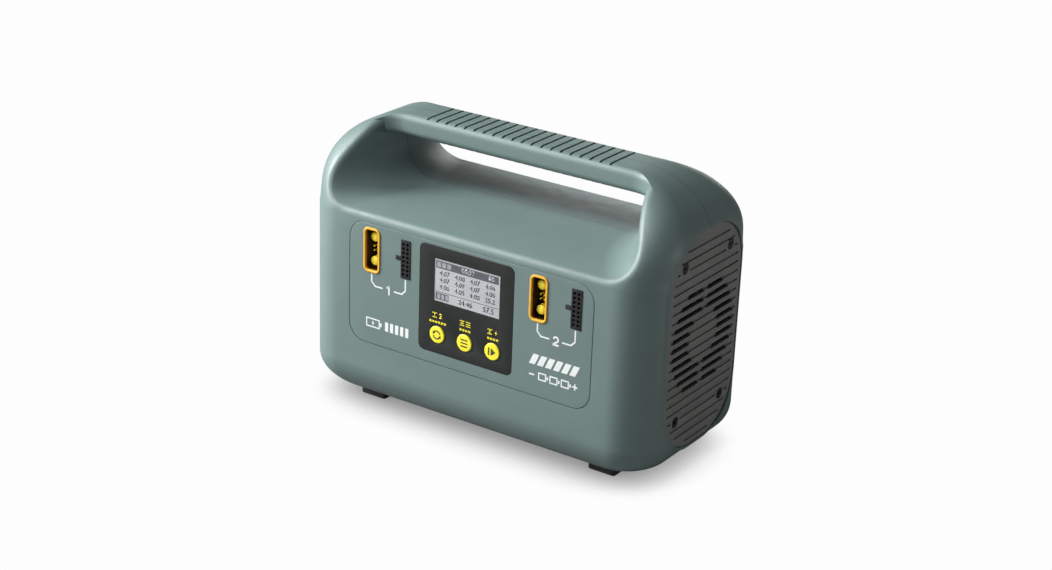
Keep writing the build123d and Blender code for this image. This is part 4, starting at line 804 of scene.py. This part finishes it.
def add_display(screen_material):
    """Grey screen with generic readings, standing for the clear window."""
    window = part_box("lcd_window")
    bezel_face = low("display_bezel").y
    centre = middle("lcd_window") / MM
    width = (window[1].x - window[0].x) / MM - 2 * WINDOW_LIP
    height = (window[1].z - window[0].z) / MM - 2 * WINDOW_LIP
    face = bezel_face + SCREEN_SINK
    outline = rounded_outline(centre.x, centre.z, width - 0.1, height - 0.1, 0.5)
    screen = mark("display_screen", [outline], face + SCREEN_THICK, SCREEN_THICK, screen_material)
    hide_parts("lcd_window")
    top = centre.z + height / 2
    left = centre.x - width / 2
    line_wide = width - 2 * SCREEN_EDGE
    head = top - SCREEN_EDGE - HEAD_TALL / 2
    inks = [bar(centre.x, head, line_wide, HEAD_TALL)]
    lights = [figures("00:37", left + width * 0.52, head, 3.7, 0.035),
              figures("80", left + width * 0.87, head, 3.7, 0.035)]
    lights += [bar(left + 3.6 + 3.9 * i, head, 3.0, ROW_TALL) for i in range(3)]
    first_row = top - SCREEN_EDGE - HEAD_TALL - 2.9
    for row, line in enumerate(READINGS):
        for column, words in enumerate(line):
            x = left + width * (0.155 + 0.232 * column)
            inks.append(figures(words, x, first_row - ROW_STEP * row, ROW_TALL, 0.03))
    foot = top - height + FOOT_UP
    inks.append(bar(centre.x, foot + 3.0, line_wide, 0.4))
    inks.append(bar(left + width * 0.125, foot - 0.1, width * 0.20, 4.6))
    inks.append(figures("24.46", left + width * 0.48, foot, 3.9, 0.03))
    inks.append(figures("57.5", left + width * 0.83, foot, 3.9, 0.03))
    lights += [bar(left + 3.6 + 3.3 * i, foot - 0.1, 2.4, 3.2) for i in range(3)]
    mark("display_readings", inks, face, FILM, display_ink().material)
    mark("display_light_figures", lights, face - FILM, FILM, display_light().material)


# ---------------------------------------------------------------- studio
VIEW_AZIMUTH = math.radians(33.50)
VIEW_ELEVATION = math.radians(21.92)
VIEW_ROLL = math.radians(2.24)
VIEW_FROM = Vector((0.7107, -1.0724, 0.6106))
SENSOR = 36.0
LENS = 71.1


def add_camera():
    """Camera over the front right corner, turned a little about its own axis."""
    turn, rise = VIEW_AZIMUTH, VIEW_ELEVATION
    ahead = Vector((-math.sin(turn) * math.cos(rise), math.cos(turn) * math.cos(rise), -math.sin(rise)))
    level = Vector((math.cos(turn), math.sin(turn), 0))
    upward = level.cross(ahead)
    right = level * math.cos(VIEW_ROLL) + upward * math.sin(VIEW_ROLL)
    upward = right.cross(ahead)
    camera = bpy.data.objects.new("camera", bpy.data.cameras.new("camera"))
    camera.data.sensor_width = SENSOR
    camera.data.lens = LENS
    camera.data.clip_start = 0.01
    camera.matrix_world = Matrix((right, upward, -ahead)).transposed().to_4x4()
    camera.location = VIEW_FROM
    bpy.context.scene.collection.objects.link(camera)
    bpy.context.scene.camera = camera


def add_light(name, place, target, size, power, colour=(1, 1, 1)):
    """Soft square light at place, aimed at target."""
    light = bpy.data.lights.new(name, "AREA")
    light.shape = "RECTANGLE"
    light.size, light.size_y = size
    light.energy = power
    light.color = colour
    obj = bpy.data.objects.new(name, light)
    obj.location = place
    obj.rotation_euler = (Vector(target) - Vector(place)).to_track_quat("-Z", "Y").to_euler()
    bpy.context.scene.collection.objects.link(obj)
    return obj


FLOOR_HALF = 6.0
WORLD_LIGHT = 0.13
PAPER_WHITE = (0.985, 0.985, 0.985)
SHADOW_REACH = 0.045
SHADOW_DARK = 0.05
SHADOW_CLEAR = 0.66


def floor_material():
    """Near-white paper with a soft contact shadow, dimmer in what it throws back than it looks."""
    surface = Surface("pale_floor", (0.20, 0.20, 0.20), 0.9)
    surface.vary(0.35, 0.02).grain(1.5 * MM, 0.02 * MM)
    contact = surface.node("ShaderNodeAmbientOcclusion")
    contact.samples = 12
    contact.inputs["Distance"].default_value = SHADOW_REACH
    share = surface.remap(contact.outputs["AO"], SHADOW_DARK, SHADOW_CLEAR, 0.0, 1.0)
    glow = surface.node("ShaderNodeEmission")
    surface.link(surface.mix(share, (0.24, 0.245, 0.24), PAPER_WHITE), glow.inputs["Color"])
    seen = surface.node("ShaderNodeLightPath")
    choose = surface.node("ShaderNodeMixShader")
    surface.link(seen.outputs["Is Camera Ray"], choose.inputs[0])
    surface.link(surface.shader.outputs["BSDF"], choose.inputs[1])
    surface.link(glow.outputs["Emission"], choose.inputs[2])
    surface.link(choose.outputs["Shader"], surface.tree.nodes["Material Output"].inputs["Surface"])
    return surface.material


def surroundings():
    """World that lights the object weakly and looks as white as the floor."""
    world = bpy.data.worlds.new("surroundings")
    world.use_nodes = True
    tree = world.node_tree
    lit = tree.nodes["Background"]
    lit.inputs["Color"].default_value = (1, 1, 1, 1)
    lit.inputs["Strength"].default_value = WORLD_LIGHT
    seen = tree.nodes.new("ShaderNodeBackground")
    seen.inputs["Color"].default_value = (*PAPER_WHITE, 1)
    path = tree.nodes.new("ShaderNodeLightPath")
    choose = tree.nodes.new("ShaderNodeMixShader")
    tree.links.new(path.outputs["Is Camera Ray"], choose.inputs[0])
    tree.links.new(lit.outputs["Background"], choose.inputs[1])
    tree.links.new(seen.outputs["Background"], choose.inputs[2])
    tree.links.new(choose.outputs["Shader"], tree.nodes["World Output"].inputs["Surface"])
    return world


def add_studio():
    """Floor, lights and the pale surroundings."""
    mesh = bpy.data.meshes.new("floor")
    form = bmesh.new()
    bmesh.ops.create_grid(form, x_segments=24, y_segments=24, size=FLOOR_HALF)
    form.to_mesh(mesh)
    form.free()
    floor = bpy.data.objects.new("floor", mesh)
    bpy.context.scene.collection.objects.link(floor)
    dress(floor, floor_material())
    heart = (0, 0, 0.1)
    add_light("key_left", (-2.1, -0.95, 1.15), heart, (0.9, 1.5), 145)
    add_light("front_fill", (-0.4, -2.4, 0.7), heart, (1.4, 1.0), 7)
    add_light("top_soft", (-0.7, -1.0, 1.8), heart, (1.0, 1.0), 25)
    add_light("low_right", (1.7, 0.5, 0.07), (0, 0, 0.07), (1.2, 0.1), 5)
    add_light("back_soft", (-0.7, 2.2, 0.4), heart, (1.2, 0.5), 7)
    bpy.context.scene.world = surroundings()
    bpy.context.scene.view_settings.view_transform = "Standard"


materials = dress_frame()
add_panel_marks()
add_contact_tips(materials["gold_contact"])
add_seam(materials["foot_rubber"])
add_display(materials["screen_glass"])
add_studio()
add_camera()
